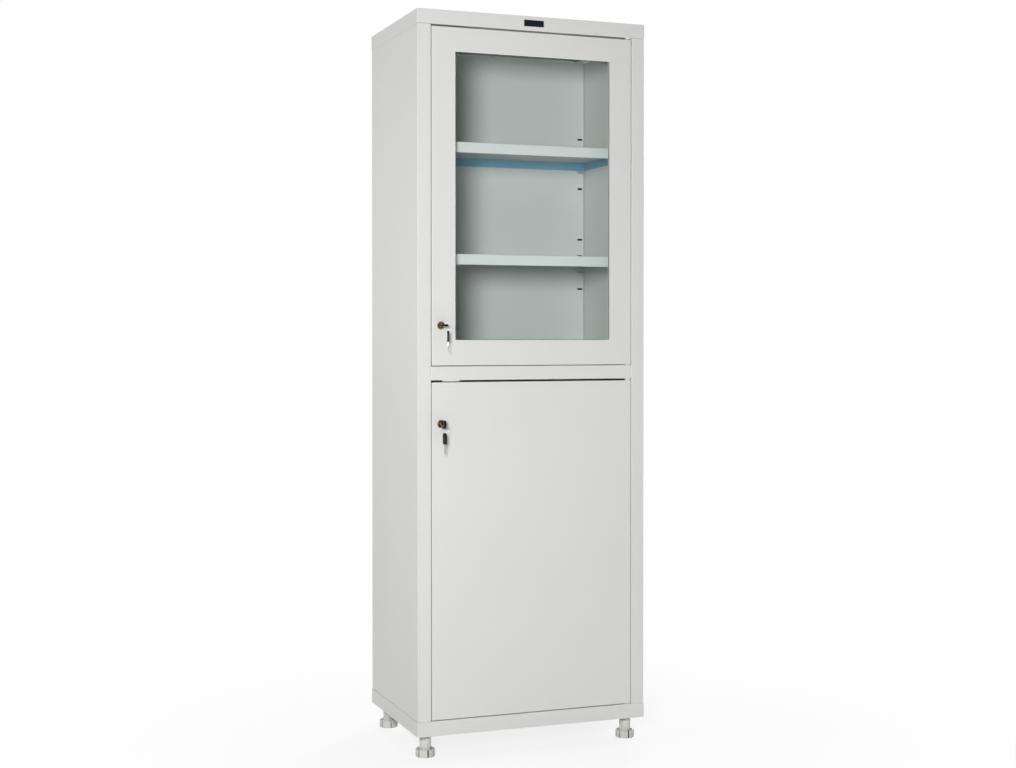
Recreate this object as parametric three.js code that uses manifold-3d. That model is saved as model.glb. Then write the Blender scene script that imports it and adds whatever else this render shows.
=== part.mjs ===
// Free-standing clinic cabinet: a folded sheet-steel carcass on four levelling feet,
// with a glazed upper door and a plain lower door, each on pivot pins and with a cam lock.
// Millimetres, +Z up, front towards -Y. The floor is z = 0.

import * as THREE from "three";
import { mergeVertices } from "three/addons/utils/BufferGeometryUtils.js";
import Module from "manifold-3d";

const wasm = await Module();
wasm.setup();

// Carcass sizes
const WIDTH = 600;
const DEPTH = 400;
const BODY_HEIGHT = 1750;
const SHEET = 1;
const PAN_SKIRT = 36;
const PAN_RETURN = 26;
const STILE = 34;
const STILE_DEPTH = 20;
const STILE_LIP = 28;
const REAR_LIP = 16;
const DIVIDER_HEIGHT = 34;
const BACK_RECESS = 24;
const SEAM_GAP = 0.5;
const FIT_GAP = 0.3;

// Door sizes
const DOOR_SIDE_GAP = 2.5;
const DOOR_END_GAP = 3.5;
const DOOR_DEPTH = 20;
const DOOR_RETURN = 12;
const WINDOW_FRAME = 60;
const GLASS_THICKNESS = 4;
const GLASS_OVERLAP = 12;
const GASKET_THICKNESS = 2;
const GASKET_SHOWING = 1;
const RETAINER_WIDTH = 26;
const RETAINER_THICKNESS = 1.5;

// Pivot hinges
const PIVOT_EDGE = 8;
const PIVOT_SETBACK = 5;
const PIN_RADIUS = 3;
const PIN_REACH = 10;
const PIN_HEAD_HEIGHT = 3;
const WASHER_RADIUS = 7;

// Locks and keys
const LOCK_EDGE = 23;
const UPPER_LOCK_RISE = 95;
const LOWER_LOCK_DROP = 101.5;
const BEZEL_RADIUS = 10;
const BEZEL_HEIGHT = 2.5;
const BARREL_RADIUS = 8;
const BARREL_LENGTH = 22;
const PLUG_RADIUS = 6;
const NUT_RADIUS = 12;
const NUT_THICKNESS = 3;
const NUT_SIDES = 6;
const TAIL_SIDE = 7;
const TAIL_SPARE = 3;
const CAM_REACH = 38;
const CAM_WIDTH = 14;
const CAM_THICKNESS = 2;
const KEY_STANDOFF = 9;
const KEY_BOW_LENGTH = 27;
const KEY_BOW_WIDTH = 19;
const KEY_BOW_THICKNESS = 5;
const KEY_BLADE_LENGTH = 24;
const KEY_BLADE_WIDTH = 5;
const KEY_BLADE_THICKNESS = 1.6;
const KEY_HOLE_RADIUS = 3.4;
const KEY_HOLE_EDGE = 6.5;
const RING_RADIUS = 11;
const RING_WIRE_RADIUS = 0.7;
const UPPER_RING_TURN = -21;
const UPPER_RING_DROP = 6.2;
const LOWER_RING_LIFT = 0.3;

// Shelves and their clips
const UPPER_BAYS = 3;
const LOWER_BAYS = 2;
const SHELF_FLANGE = 26;
const SHELF_SETBACK = 42;
const SHELF_SIDE_GAP = 1.5;
const SLOT_WIDTH = 14;
const SLOT_HEIGHT = 4;
const SLOT_INSET = 15;
const SLOT_PITCH = 45;
const SLOTS_ABOVE = 2;
const SLOTS_BELOW = 1;
const CLIP_THICKNESS = 2;
const CLIP_HOOK = 9;
const CLIP_BEARING = 8;
const CLIP_NIB = 3;

// Levelling feet
const FOOT_HEIGHT = 57;
const FOOT_SIDE = 33;
const FOOT_FRONT = 43;
const FOOT_BASE_RADIUS = 23.5;
const FOOT_BASE_HEIGHT = 19;
const FOOT_CUP_DEPTH = 6;
const FOOT_CUP_WALL = 3;
const FOOT_NOTCHES = 6;
const FOOT_NOTCH_WIDTH = 3.5;
const FOOT_NOTCH_DEPTH = 2.5;
const FOOT_BEVEL = 1.5;
const SLEEVE_RADIUS = 14;
const SLEEVE_RIBS = 18;
const SLEEVE_RIB_DEPTH = 0.9;
const SLEEVE_RIB_SHARE = 0.5;
const STUD_RADIUS = 5;
const STUD_LENGTH = 30;
const STUD_SOCKET = 7;

// Small plates
const BADGE_WIDTH = 54;
const BADGE_HEIGHT = 18;
const BADGE_THICKNESS = 1.2;
const BADGE_CORNER = 1.5;
const BADGE_CORNER_STEPS = 3;
const STOP_TAB_WIDTH = 43;
const STOP_TAB_EDGE = 28;
const STOP_TAB_DEPTH = 6;
const STOP_TAB_CLEARANCE = 0.7;

const ROUND_SIDES = 24;
const PIN_SIDES = 16;
const WIRE_SIDES = 6;
const OVERCUT = 1;
const WELD = 1e-4;

// Levels and places worked out from the sizes above
const RIGHT = WIDTH / 2;
const FRONT = -DEPTH / 2;
const REAR = DEPTH / 2;
const BASE_TOP = PAN_SKIRT;
const ROOF_BOTTOM = BODY_HEIGHT - PAN_SKIRT;
const BAY_HEIGHT = (ROOF_BOTTOM - BASE_TOP - DIVIDER_HEIGHT) / 2;
const DIVIDER_BOTTOM = BASE_TOP + BAY_HEIGHT;
const DIVIDER_TOP = DIVIDER_BOTTOM + DIVIDER_HEIGHT;
const OPENING_HALF = RIGHT - STILE;
const DOOR_HALF = OPENING_HALF - DOOR_SIDE_GAP;
const DOOR_HEIGHT = BAY_HEIGHT - 2 * DOOR_END_GAP;
const UPPER_DOOR_BOTTOM = DIVIDER_TOP + DOOR_END_GAP;
const LOWER_DOOR_BOTTOM = BASE_TOP + DOOR_END_GAP;
const UPPER_DOOR_TOP = UPPER_DOOR_BOTTOM + DOOR_HEIGHT;
const LOWER_DOOR_TOP = LOWER_DOOR_BOTTOM + DOOR_HEIGHT;
const PIVOT_X = DOOR_HALF - PIVOT_EDGE;
const PIVOT_Y = FRONT + PIVOT_SETBACK;
const PIN_HEAD_RADIUS = PIVOT_SETBACK - SHEET - FIT_GAP;
const LOCK_X = -DOOR_HALF + LOCK_EDGE;
const UPPER_LOCK_Z = UPPER_DOOR_BOTTOM + UPPER_LOCK_RISE;
const LOWER_LOCK_Z = LOWER_DOOR_TOP - LOWER_LOCK_DROP;
const BACK_FACE = REAR - BACK_RECESS;
const LIP_FACE = FRONT + STILE_DEPTH;
const SLOT_X = RIGHT - SLOT_INSET;
const SHELF_FRONT = FRONT + SHELF_SETBACK;
const SHELF_HALF = RIGHT - SHEET - SHELF_SIDE_GAP;
const SHELF_PITCH = BAY_HEIGHT / UPPER_BAYS;
const SHELF_TOPS = {
  upper_shelf: DIVIDER_TOP + 2 * SHELF_PITCH,
  middle_shelf: DIVIDER_TOP + SHELF_PITCH,
  lower_shelf: BASE_TOP + BAY_HEIGHT / LOWER_BAYS,
};
const KEY_REACH = KEY_STANDOFF + KEY_BOW_LENGTH;
const KEY_HOLE_Y = -KEY_REACH + KEY_HOLE_EDGE;
const HOOK_DROP = KEY_HOLE_RADIUS - RING_WIRE_RADIUS - FIT_GAP;

// Paints and materials
const FINISHES = {
  paint: { color: 0xdcdcda, roughness: 0.42, metalness: 0 },
  glass: { color: 0xcfe3df, roughness: 0.05, metalness: 0 },
  rubber: { color: 0x2f332f, roughness: 0.8, metalness: 0 },
  steel: { color: 0xb9bcbf, roughness: 0.35, metalness: 1 },
  brass: { color: 0xb08d57, roughness: 0.3, metalness: 1 },
  black_plastic: { color: 0x17171a, roughness: 0.45, metalness: 0 },
  white_nylon: { color: 0xeeeeea, roughness: 0.5, metalness: 0 },
  grey_plastic: { color: 0xc9cac4, roughness: 0.55, metalness: 0 },
  badge: { color: 0x14161a, roughness: 0.4, metalness: 0 },
};

// Solids: joining and cutting closed meshes
function solidOf(geometry) {
  const bare = geometry.clone();
  bare.deleteAttribute("normal");
  bare.deleteAttribute("uv");
  const merged = mergeVertices(bare, WELD);
  const vertProperties = new Float32Array(merged.attributes.position.array);
  const triVerts = new Uint32Array(merged.index.array);
  return new wasm.Manifold(new wasm.Mesh({ numProp: 3, vertProperties, triVerts }));
}

function geometryOf(solid) {
  const mesh = solid.getMesh();
  const geometry = new THREE.BufferGeometry();
  geometry.setAttribute("position", new THREE.BufferAttribute(mesh.vertProperties, 3));
  geometry.setIndex(new THREE.BufferAttribute(mesh.triVerts, 1));
  geometry.computeVertexNormals();
  return geometry;
}

function cut(geometry, ...tools) {
  let solid = solidOf(geometry);
  for (const tool of tools) {
    solid = solid.subtract(solidOf(tool));
  }
  return geometryOf(solid);
}

function join(geometry, ...others) {
  let solid = solidOf(geometry);
  for (const other of others) {
    solid = solid.add(solidOf(other));
  }
  return geometryOf(solid);
}

// Basic forms, given by where they start and end
function box([x0, x1], [y0, y1], [z0, z1]) {
  const form = new THREE.BoxGeometry(x1 - x0, y1 - y0, z1 - z0);
  return form.translate((x0 + x1) / 2, (y0 + y1) / 2, (z0 + z1) / 2);
}

function uprightRod(x, y, z0, z1, radius, sides = PIN_SIDES) {
  const form = new THREE.CylinderGeometry(radius, radius, z1 - z0, sides);
  return form.rotateX(Math.PI / 2).translate(x, y, (z0 + z1) / 2);
}

function levelRod(x, z, y0, y1, radius, sides = ROUND_SIDES) {
  const form = new THREE.CylinderGeometry(radius, radius, y1 - y0, sides);
  return form.translate(x, (y0 + y1) / 2, z);
}

function extruded(shape, depth) {
  const curveSegments = ROUND_SIDES / 2;
  return new THREE.ExtrudeGeometry(shape, { depth, bevelEnabled: false, curveSegments });
}

function sunkBy(range, margin) {
  return [range[0] + margin, range[1] - margin];
}

function centred(half) {
  return [-half, half];
}

// Outline of folded sheet: the outer face is given as a path, and the inner face
// lies one sheet thickness to the right of it, mitred at each fold.
function foldedSheet(path, thickness) {
  const inner = path.map((point, i) => {
    const before = path[Math.max(i - 1, 0)];
    const after = path[Math.min(i + 1, path.length - 1)];
    const into = i > 0 ? point.clone().sub(before).normalize() : null;
    const out = i < path.length - 1 ? after.clone().sub(point).normalize() : null;
    const first = into ?? out;
    const second = out ?? into;
    const toRight = new THREE.Vector2(first.y + second.y, -first.x - second.x).normalize();
    const spread = toRight.x * first.y - toRight.y * first.x;
    return point.clone().addScaledVector(toRight, thickness / spread);
  });
  return new THREE.Shape([...path, ...inner.reverse()]);
}

const cabinet = new THREE.Group();

function addPiece(name, geometry, finish, parent = cabinet) {
  const piece = new THREE.Mesh(geometry, new THREE.MeshStandardMaterial(FINISHES[finish]));
  piece.name = name;
  parent.add(piece);
  return piece;
}

// Roof and base: shallow pans with turned-in edges
function pan(z0, z1, mouthShape) {
  const outer = box(centred(RIGHT), [FRONT, REAR], [z0, z1]);
  const hollow = box(
    sunkBy(centred(RIGHT), SHEET),
    sunkBy([FRONT, REAR], SHEET),
    sunkBy([z0, z1], SHEET),
  );
  const mouth = extruded(mouthShape, SHEET + 2 * OVERCUT);
  return cut(outer, hollow, mouth.translate(0, 0, z0 - OVERCUT));
}

function panMouth(corner) {
  const x = RIGHT - PAN_RETURN;
  const y = REAR - PAN_RETURN;
  const mouth = new THREE.Shape();
  mouth.moveTo(x, -y + corner);
  mouth.lineTo(x, y - corner);
  mouth.lineTo(x - corner, y);
  mouth.lineTo(-x + corner, y);
  mouth.lineTo(-x, y - corner);
  mouth.lineTo(-x, -y + corner);
  mouth.lineTo(-x + corner, -y);
  mouth.lineTo(x - corner, -y);
  mouth.closePath();
  return mouth;
}

function pinHole(z0, z1) {
  return uprightRod(PIVOT_X, PIVOT_Y, z0 - OVERCUT, z1 + OVERCUT, PIN_RADIUS + FIT_GAP);
}

function roofPanel() {
  const roof = pan(ROOF_BOTTOM, BODY_HEIGHT, panMouth(PAN_RETURN));
  return cut(roof, pinHole(ROOF_BOTTOM, ROOF_BOTTOM + SHEET));
}

// The base has a large gusset across each corner for its foot.
function basePanel() {
  const gusset = FOOT_FRONT + FOOT_SIDE + SLEEVE_RADIUS;
  const base = pan(0, BASE_TOP, panMouth(gusset));
  return cut(base, pinHole(BASE_TOP - SHEET, BASE_TOP));
}

// Side panel: outer skin, boxed front stile and a rear lip, folded from one sheet
function slotHeights() {
  const heights = [];
  for (const top of Object.values(SHELF_TOPS)) {
    const clipTop = top - SHELF_FLANGE - FIT_GAP;
    for (let step = -SLOTS_BELOW; step <= SLOTS_ABOVE; step += 1) {
      heights.push(clipTop - CLIP_THICKNESS / 2 + step * SLOT_PITCH);
    }
  }
  return heights;
}

function slotCut(x, y, z) {
  const half = SLOT_HEIGHT / 2;
  return box(
    [x - SLOT_WIDTH / 2, x + SLOT_WIDTH / 2],
    [y - SHEET - OVERCUT, y + SHEET + OVERCUT],
    [z - half, z + half],
  );
}

function leftSidePanel() {
  const stileInner = -OPENING_HALF;
  const path = [
    new THREE.Vector2(stileInner - STILE_LIP, LIP_FACE),
    new THREE.Vector2(stileInner, LIP_FACE),
    new THREE.Vector2(stileInner, FRONT),
    new THREE.Vector2(-RIGHT, FRONT),
    new THREE.Vector2(-RIGHT, REAR),
    new THREE.Vector2(-RIGHT + REAR_LIP, REAR),
  ];
  const bottom = BASE_TOP + SEAM_GAP;
  const height = ROOF_BOTTOM - SEAM_GAP - bottom;
  const panel = extruded(foldedSheet(path, SHEET), height).translate(0, 0, bottom);
  const slots = slotHeights().map((z) => slotCut(-SLOT_X, LIP_FACE, z));
  return cut(panel, ...slots);
}

// Back panel: a tray whose side flanges turn to the rear
function backPanel() {
  const half = RIGHT - SHEET - FIT_GAP;
  const flangeEnd = REAR - SHEET - FIT_GAP;
  const levels = [BASE_TOP + FIT_GAP, ROOF_BOTTOM - FIT_GAP];
  const block = box(centred(half), [BACK_FACE, flangeEnd], levels);
  const hollow = box(
    sunkBy(centred(half), SHEET),
    [BACK_FACE + SHEET, REAR],
    sunkBy(levels, -OVERCUT),
  );
  const slots = [];
  for (const side of [-1, 1]) {
    for (const z of slotHeights()) {
      slots.push(slotCut(side * SLOT_X, BACK_FACE, z));
    }
  }
  return cut(block, hollow, ...slots);
}

// Divider between the bays: a front rail between the stiles and a pan behind them
function middleDivider() {
  const levels = [DIVIDER_BOTTOM, DIVIDER_TOP];
  const railHalf = OPENING_HALF - FIT_GAP;
  const panHalf = RIGHT - SHEET - FIT_GAP;
  const panFront = LIP_FACE + FIT_GAP;
  const panRear = BACK_FACE - FIT_GAP;
  const rail = box(centred(railHalf), [FRONT, panFront + SHEET], levels);
  const body = box(centred(panHalf), [panFront, panRear], levels);
  const insideLevels = sunkBy(levels, SHEET);
  const railHollow = box(
    sunkBy(centred(railHalf), SHEET),
    [FRONT + SHEET, panFront + 2 * SHEET],
    insideLevels,
  );
  const bodyHollow = box(
    sunkBy(centred(panHalf), SHEET),
    sunkBy([panFront, panRear], SHEET),
    insideLevels,
  );
  const mouth = box(
    sunkBy(centred(railHalf), PAN_RETURN),
    sunkBy([panFront, panRear], PAN_RETURN),
    [DIVIDER_BOTTOM - OVERCUT, DIVIDER_BOTTOM + SHEET + OVERCUT],
  );
  const pinHoles = pinHole(DIVIDER_BOTTOM, DIVIDER_TOP);
  const stopStart = -DOOR_HALF + STOP_TAB_EDGE;
  const stopTab = box(
    [stopStart, stopStart + STOP_TAB_WIDTH],
    [FRONT + SHEET, FRONT + SHEET + STOP_TAB_DEPTH],
    [LOWER_DOOR_TOP + STOP_TAB_CLEARANCE, DIVIDER_BOTTOM + SHEET / 2],
  );
  const shell = cut(join(rail, body), railHollow, bodyHollow, mouth, pinHoles);
  return join(shell, stopTab);
}

function badgePlate() {
  const x = BADGE_WIDTH / 2 - BADGE_CORNER;
  const z = BADGE_HEIGHT / 2 - BADGE_CORNER;
  const outline = new THREE.Shape();
  outline.absarc(x, z, BADGE_CORNER, 0, Math.PI / 2);
  outline.absarc(-x, z, BADGE_CORNER, Math.PI / 2, Math.PI);
  outline.absarc(-x, -z, BADGE_CORNER, Math.PI, 1.5 * Math.PI);
  outline.absarc(x, -z, BADGE_CORNER, 1.5 * Math.PI, 2 * Math.PI);
  const plate = new THREE.ExtrudeGeometry(outline, {
    depth: BADGE_THICKNESS,
    bevelEnabled: false,
    curveSegments: BADGE_CORNER_STEPS,
  });
  const middle = (ROOF_BOTTOM + BODY_HEIGHT) / 2;
  return plate.rotateX(Math.PI / 2).translate(0, FRONT - FIT_GAP, middle);
}

// Doors: pans open to the rear, with holes for the pivot pins and the lock
function doorPan(bottom, lockZ) {
  const levels = [bottom, bottom + DOOR_HEIGHT];
  const rear = FRONT + DOOR_DEPTH;
  const block = box(centred(DOOR_HALF), [FRONT, rear], levels);
  const hollow = box(
    sunkBy(centred(DOOR_HALF), SHEET),
    sunkBy([FRONT, rear], SHEET),
    sunkBy(levels, SHEET),
  );
  const mouth = box(
    sunkBy(centred(DOOR_HALF), DOOR_RETURN),
    [rear - SHEET - OVERCUT, rear + OVERCUT],
    sunkBy(levels, DOOR_RETURN),
  );
  const pins = pinHole(levels[0], levels[1]);
  const lockHole = levelRod(
    LOCK_X,
    lockZ,
    FRONT - OVERCUT,
    FRONT + SHEET + OVERCUT,
    BARREL_RADIUS + FIT_GAP,
  );
  return cut(block, hollow, mouth, pins, lockHole);
}

function windowBorder(outset, inset, [y0, y1]) {
  const half = DOOR_HALF - WINDOW_FRAME;
  const bottom = UPPER_DOOR_BOTTOM + WINDOW_FRAME;
  const top = UPPER_DOOR_TOP - WINDOW_FRAME;
  const outer = box(centred(half + outset), [y0, y1], [bottom - outset, top + outset]);
  if (inset === null) {
    return outer;
  }
  const inner = box(
    centred(half + inset),
    [y0 - OVERCUT, y1 + OVERCUT],
    [bottom - inset, top + inset],
  );
  return cut(outer, inner);
}

function upperDoorFrame() {
  const opening = windowBorder(0, null, [FRONT - OVERCUT, FRONT + SHEET + OVERCUT]);
  return cut(doorPan(UPPER_DOOR_BOTTOM, UPPER_LOCK_Z), opening);
}

function addGlazing() {
  const gasketFront = FRONT + SHEET + FIT_GAP;
  const gasketRear = gasketFront + GASKET_THICKNESS;
  const glassFront = gasketRear + FIT_GAP;
  const glassRear = glassFront + GLASS_THICKNESS;
  const retainerFront = glassRear + FIT_GAP;
  const retainerRear = retainerFront + RETAINER_THICKNESS;
  const retainerOut = RETAINER_WIDTH - FIT_GAP;
  const gasket = windowBorder(GLASS_OVERLAP, -GASKET_SHOWING, [gasketFront, gasketRear]);
  const glass = windowBorder(GLASS_OVERLAP, null, [glassFront, glassRear]);
  const strip = windowBorder(retainerOut, 0, [retainerFront, retainerRear]);
  const wallFront = FRONT + SHEET + FIT_GAP;
  const wall = windowBorder(
    GLASS_OVERLAP + FIT_GAP + RETAINER_THICKNESS,
    GLASS_OVERLAP + FIT_GAP,
    [wallFront, retainerFront + RETAINER_THICKNESS / 2],
  );
  addPiece("window_gasket", gasket, "rubber");
  addPiece("window_glass", glass, "glass");
  addPiece("glass_retainer", join(strip, wall), "paint");
}

// Pivot pins stand in the carcass, and each door end turns on one with a washer in the gap.
function pivotPin(z0, z1, headZ) {
  const pin = uprightRod(PIVOT_X, PIVOT_Y, z0, z1, PIN_RADIUS);
  if (headZ === null) {
    return pin;
  }
  const head = uprightRod(PIVOT_X, PIVOT_Y, headZ, headZ + PIN_HEAD_HEIGHT, PIN_HEAD_RADIUS);
  return join(pin, head);
}

function pivotWasher(gapBottom) {
  const z0 = gapBottom + FIT_GAP;
  const z1 = gapBottom + DOOR_END_GAP - FIT_GAP;
  const ring = uprightRod(PIVOT_X, PIVOT_Y, z0, z1, WASHER_RADIUS, ROUND_SIDES);
  const bore = uprightRod(
    PIVOT_X,
    PIVOT_Y,
    z0 - OVERCUT,
    z1 + OVERCUT,
    PIN_RADIUS + FIT_GAP,
  );
  const clearOfFront = box(
    [PIVOT_X - 2 * WASHER_RADIUS, PIVOT_X + 2 * WASHER_RADIUS],
    [FRONT - 2 * WASHER_RADIUS, FRONT + SHEET],
    [z0 - OVERCUT, z1 + OVERCUT],
  );
  return cut(ring, bore, clearOfFront);
}

function addPivots() {
  const topHead = ROOF_BOTTOM + SHEET + FIT_GAP;
  const bottomHead = BASE_TOP - SHEET - FIT_GAP - PIN_HEAD_HEIGHT;
  const topPin = pivotPin(UPPER_DOOR_TOP - PIN_REACH, topHead + PIN_HEAD_HEIGHT, topHead);
  const middlePin = pivotPin(LOWER_DOOR_TOP - PIN_REACH, UPPER_DOOR_BOTTOM + PIN_REACH, null);
  const bottomPin = pivotPin(bottomHead, LOWER_DOOR_BOTTOM + PIN_REACH, bottomHead);
  addPiece("top_pivot_pin", topPin, "steel");
  addPiece("middle_pivot_pin", middlePin, "steel");
  addPiece("bottom_pivot_pin", bottomPin, "steel");
  addPiece("upper_door_top_washer", pivotWasher(UPPER_DOOR_TOP), "white_nylon");
  addPiece("upper_door_bottom_washer", pivotWasher(DIVIDER_TOP), "white_nylon");
  addPiece("lower_door_top_washer", pivotWasher(LOWER_DOOR_TOP), "white_nylon");
  addPiece("lower_door_bottom_washer", pivotWasher(BASE_TOP), "white_nylon");
}

// Lock pieces, about the lock's own axis: y = 0 is the door's front face
function lockBarrel() {
  const bezel = levelRod(0, 0, -FIT_GAP - BEZEL_HEIGHT, -FIT_GAP, BEZEL_RADIUS);
  const body = levelRod(0, 0, -FIT_GAP - SHEET, BARREL_LENGTH, BARREL_RADIUS);
  const bore = levelRod(
    0,
    0,
    -BEZEL_HEIGHT - OVERCUT,
    BARREL_LENGTH + OVERCUT,
    PLUG_RADIUS + FIT_GAP,
  );
  return cut(join(bezel, body), bore);
}

function lockNut() {
  const start = SHEET + FIT_GAP;
  const nut = levelRod(0, 0, start, start + NUT_THICKNESS, NUT_RADIUS, NUT_SIDES);
  const bore = levelRod(
    0,
    0,
    start - OVERCUT,
    start + NUT_THICKNESS + OVERCUT,
    BARREL_RADIUS + FIT_GAP,
  );
  return cut(nut, bore);
}

function lockPlug() {
  const camFront = BARREL_LENGTH + FIT_GAP;
  const tailHalf = TAIL_SIDE / 2;
  const body = levelRod(0, 0, -BEZEL_HEIGHT, BARREL_LENGTH, PLUG_RADIUS);
  const tail = box(
    centred(tailHalf),
    [BARREL_LENGTH - SHEET, camFront + CAM_THICKNESS + TAIL_SPARE],
    centred(tailHalf),
  );
  const keyway = box(
    centred(KEY_BLADE_WIDTH / 2 + FIT_GAP),
    [-BEZEL_HEIGHT - OVERCUT, KEY_BLADE_LENGTH - KEY_STANDOFF + FIT_GAP],
    centred(KEY_BLADE_THICKNESS / 2 + FIT_GAP),
  );
  return cut(join(body, tail), keyway);
}

// The cam hangs straight down from the tail while the door is unlocked.
function lockCam() {
  const hub = CAM_WIDTH / 2 + 2 * FIT_GAP;
  const endHalf = CAM_WIDTH / 2;
  const hole = TAIL_SIDE / 2 + FIT_GAP;
  const outline = new THREE.Shape();
  outline.absarc(0, 0, hub, 0, Math.PI);
  outline.lineTo(-endHalf, -CAM_REACH);
  outline.lineTo(endHalf, -CAM_REACH);
  outline.closePath();
  outline.holes.push(
    new THREE.Path([
      new THREE.Vector2(-hole, -hole),
      new THREE.Vector2(-hole, hole),
      new THREE.Vector2(hole, hole),
      new THREE.Vector2(hole, -hole),
    ]),
  );
  const rear = BARREL_LENGTH + FIT_GAP + CAM_THICKNESS;
  return extruded(outline, CAM_THICKNESS).rotateX(Math.PI / 2).translate(0, rear, 0);
}

// A key lies along Y with its bow flat, and its blade enters the plug.
function keyForm() {
  const half = KEY_BOW_WIDTH / 2;
  const roundY = -KEY_REACH + half;
  const bow = new THREE.Shape();
  bow.moveTo(-half, -KEY_STANDOFF);
  bow.lineTo(-half, roundY);
  bow.absarc(0, roundY, half, Math.PI, 2 * Math.PI);
  bow.lineTo(half, -KEY_STANDOFF);
  bow.closePath();
  const hole = new THREE.Path();
  hole.absarc(0, KEY_HOLE_Y, KEY_HOLE_RADIUS, 0, 2 * Math.PI, true);
  bow.holes.push(hole);
  const grip = extruded(bow, KEY_BOW_THICKNESS).translate(0, 0, -KEY_BOW_THICKNESS / 2);
  const blade = box(
    centred(KEY_BLADE_WIDTH / 2),
    [-KEY_STANDOFF - SHEET, KEY_BLADE_LENGTH - KEY_STANDOFF],
    centred(KEY_BLADE_THICKNESS / 2),
  );
  return join(grip, blade);
}

function ringForm() {
  const ring = new THREE.TorusGeometry(RING_RADIUS, RING_WIRE_RADIUS, WIRE_SIDES, ROUND_SIDES);
  return ring.rotateX(Math.PI / 2);
}

// Turns a key so that it hangs by the hole in its bow, seen edge on along the wire
function hangingKeyForm() {
  return keyForm()
    .translate(0, -KEY_HOLE_Y, 0)
    .rotateX(-Math.PI / 2)
    .rotateZ(-Math.PI / 2);
}

// Where the ring's centre lies from the hole of the key in the lock. A flat bow carries
// the ring over its side edge, and an upright bow carries it in the bottom of its hole.
function ringOffset(bowIsFlat) {
  const inner = RING_RADIUS - RING_WIRE_RADIUS - FIT_GAP;
  const topFace = UPPER_RING_DROP + KEY_BOW_THICKNESS / 2;
  const reach = Math.sqrt(inner * inner - topFace * topFace);
  if (bowIsFlat) {
    return new THREE.Vector3(KEY_HOLE_RADIUS + reach, 0, -UPPER_RING_DROP);
  }
  return new THREE.Vector3(0, 0, LOWER_RING_LIFT - HOOK_DROP - RING_RADIUS);
}

function addLock(prefix, z, bowIsFlat, ringTurn) {
  const lock = new THREE.Group();
  lock.position.set(LOCK_X, FRONT, z);
  cabinet.add(lock);
  addPiece(`${prefix}_lock_barrel`, lockBarrel(), "brass", lock);
  addPiece(`${prefix}_lock_nut`, lockNut(), "steel", lock);
  addPiece(`${prefix}_lock_cam`, lockCam(), "steel", lock);

  const keyed = new THREE.Group();
  keyed.rotation.y = bowIsFlat ? 0 : Math.PI / 2;
  lock.add(keyed);
  addPiece(`${prefix}_lock_plug`, lockPlug(), "brass", keyed);
  addPiece(`${prefix}_key`, keyForm(), "black_plastic", keyed);

  const hanging = new THREE.Group();
  hanging.position.set(0, KEY_HOLE_Y, 0);
  hanging.rotation.z = THREE.MathUtils.degToRad(ringTurn);
  lock.add(hanging);
  const offset = ringOffset(bowIsFlat);
  const ring = addPiece(`${prefix}_key_ring`, ringForm(), "steel", hanging);
  ring.position.copy(offset);
  const spare = addPiece(`${prefix}_spare_key`, hangingKeyForm(), "black_plastic", hanging);
  spare.position.copy(offset);
  spare.position.z -= RING_RADIUS + HOOK_DROP;
}

// Shelves: flat pans with flanges turned down on all sides
function shelfPan(top) {
  const levels = [top - SHELF_FLANGE, top];
  const ends = [SHELF_FRONT, BACK_FACE - 2 * FIT_GAP];
  const block = box(centred(SHELF_HALF), ends, levels);
  const hollow = box(
    sunkBy(centred(SHELF_HALF), SHEET),
    sunkBy(ends, SHEET),
    [levels[0] - OVERCUT, top - SHEET],
  );
  return cut(block, hollow);
}

// A clip hooks through a slot and carries the shelf's flange on its tongue.
// Its outline is drawn from the slotted wall, with the tongue along +X.
function clipForm(tongue) {
  const hookFront = -SHEET - FIT_GAP;
  const outline = new THREE.Shape();
  outline.moveTo(tongue, -CLIP_THICKNESS);
  outline.lineTo(tongue, CLIP_NIB);
  outline.lineTo(tongue - CLIP_THICKNESS, CLIP_NIB);
  outline.lineTo(tongue - CLIP_THICKNESS, 0);
  outline.lineTo(hookFront - CLIP_THICKNESS, 0);
  outline.lineTo(hookFront - CLIP_THICKNESS, -CLIP_HOOK);
  outline.lineTo(hookFront, -CLIP_HOOK);
  outline.lineTo(hookFront, -CLIP_THICKNESS);
  outline.closePath();
  const width = SLOT_WIDTH - 2 * FIT_GAP;
  const form = extruded(outline, width).translate(0, 0, -width / 2);
  return form.rotateX(Math.PI / 2);
}

function addShelf(name, top) {
  addPiece(name, shelfPan(top), "paint");
  const clipTop = top - SHELF_FLANGE - FIT_GAP;
  const frontTongue = SHELF_SETBACK - STILE_DEPTH + CLIP_BEARING;
  const rearTongue = 2 * FIT_GAP + SHEET + CLIP_BEARING;
  const sides = { left: -1, right: 1 };
  for (const [side, sign] of Object.entries(sides)) {
    const frontClip = addPiece(`${name}_front_${side}_clip`, clipForm(frontTongue), "steel");
    frontClip.position.set(sign * SLOT_X, LIP_FACE, clipTop);
    frontClip.rotation.z = Math.PI / 2;
    const rearClip = addPiece(`${name}_rear_${side}_clip`, clipForm(rearTongue), "steel");
    rearClip.position.set(sign * SLOT_X, BACK_FACE, clipTop);
    rearClip.rotation.z = -Math.PI / 2;
  }
}

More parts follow.
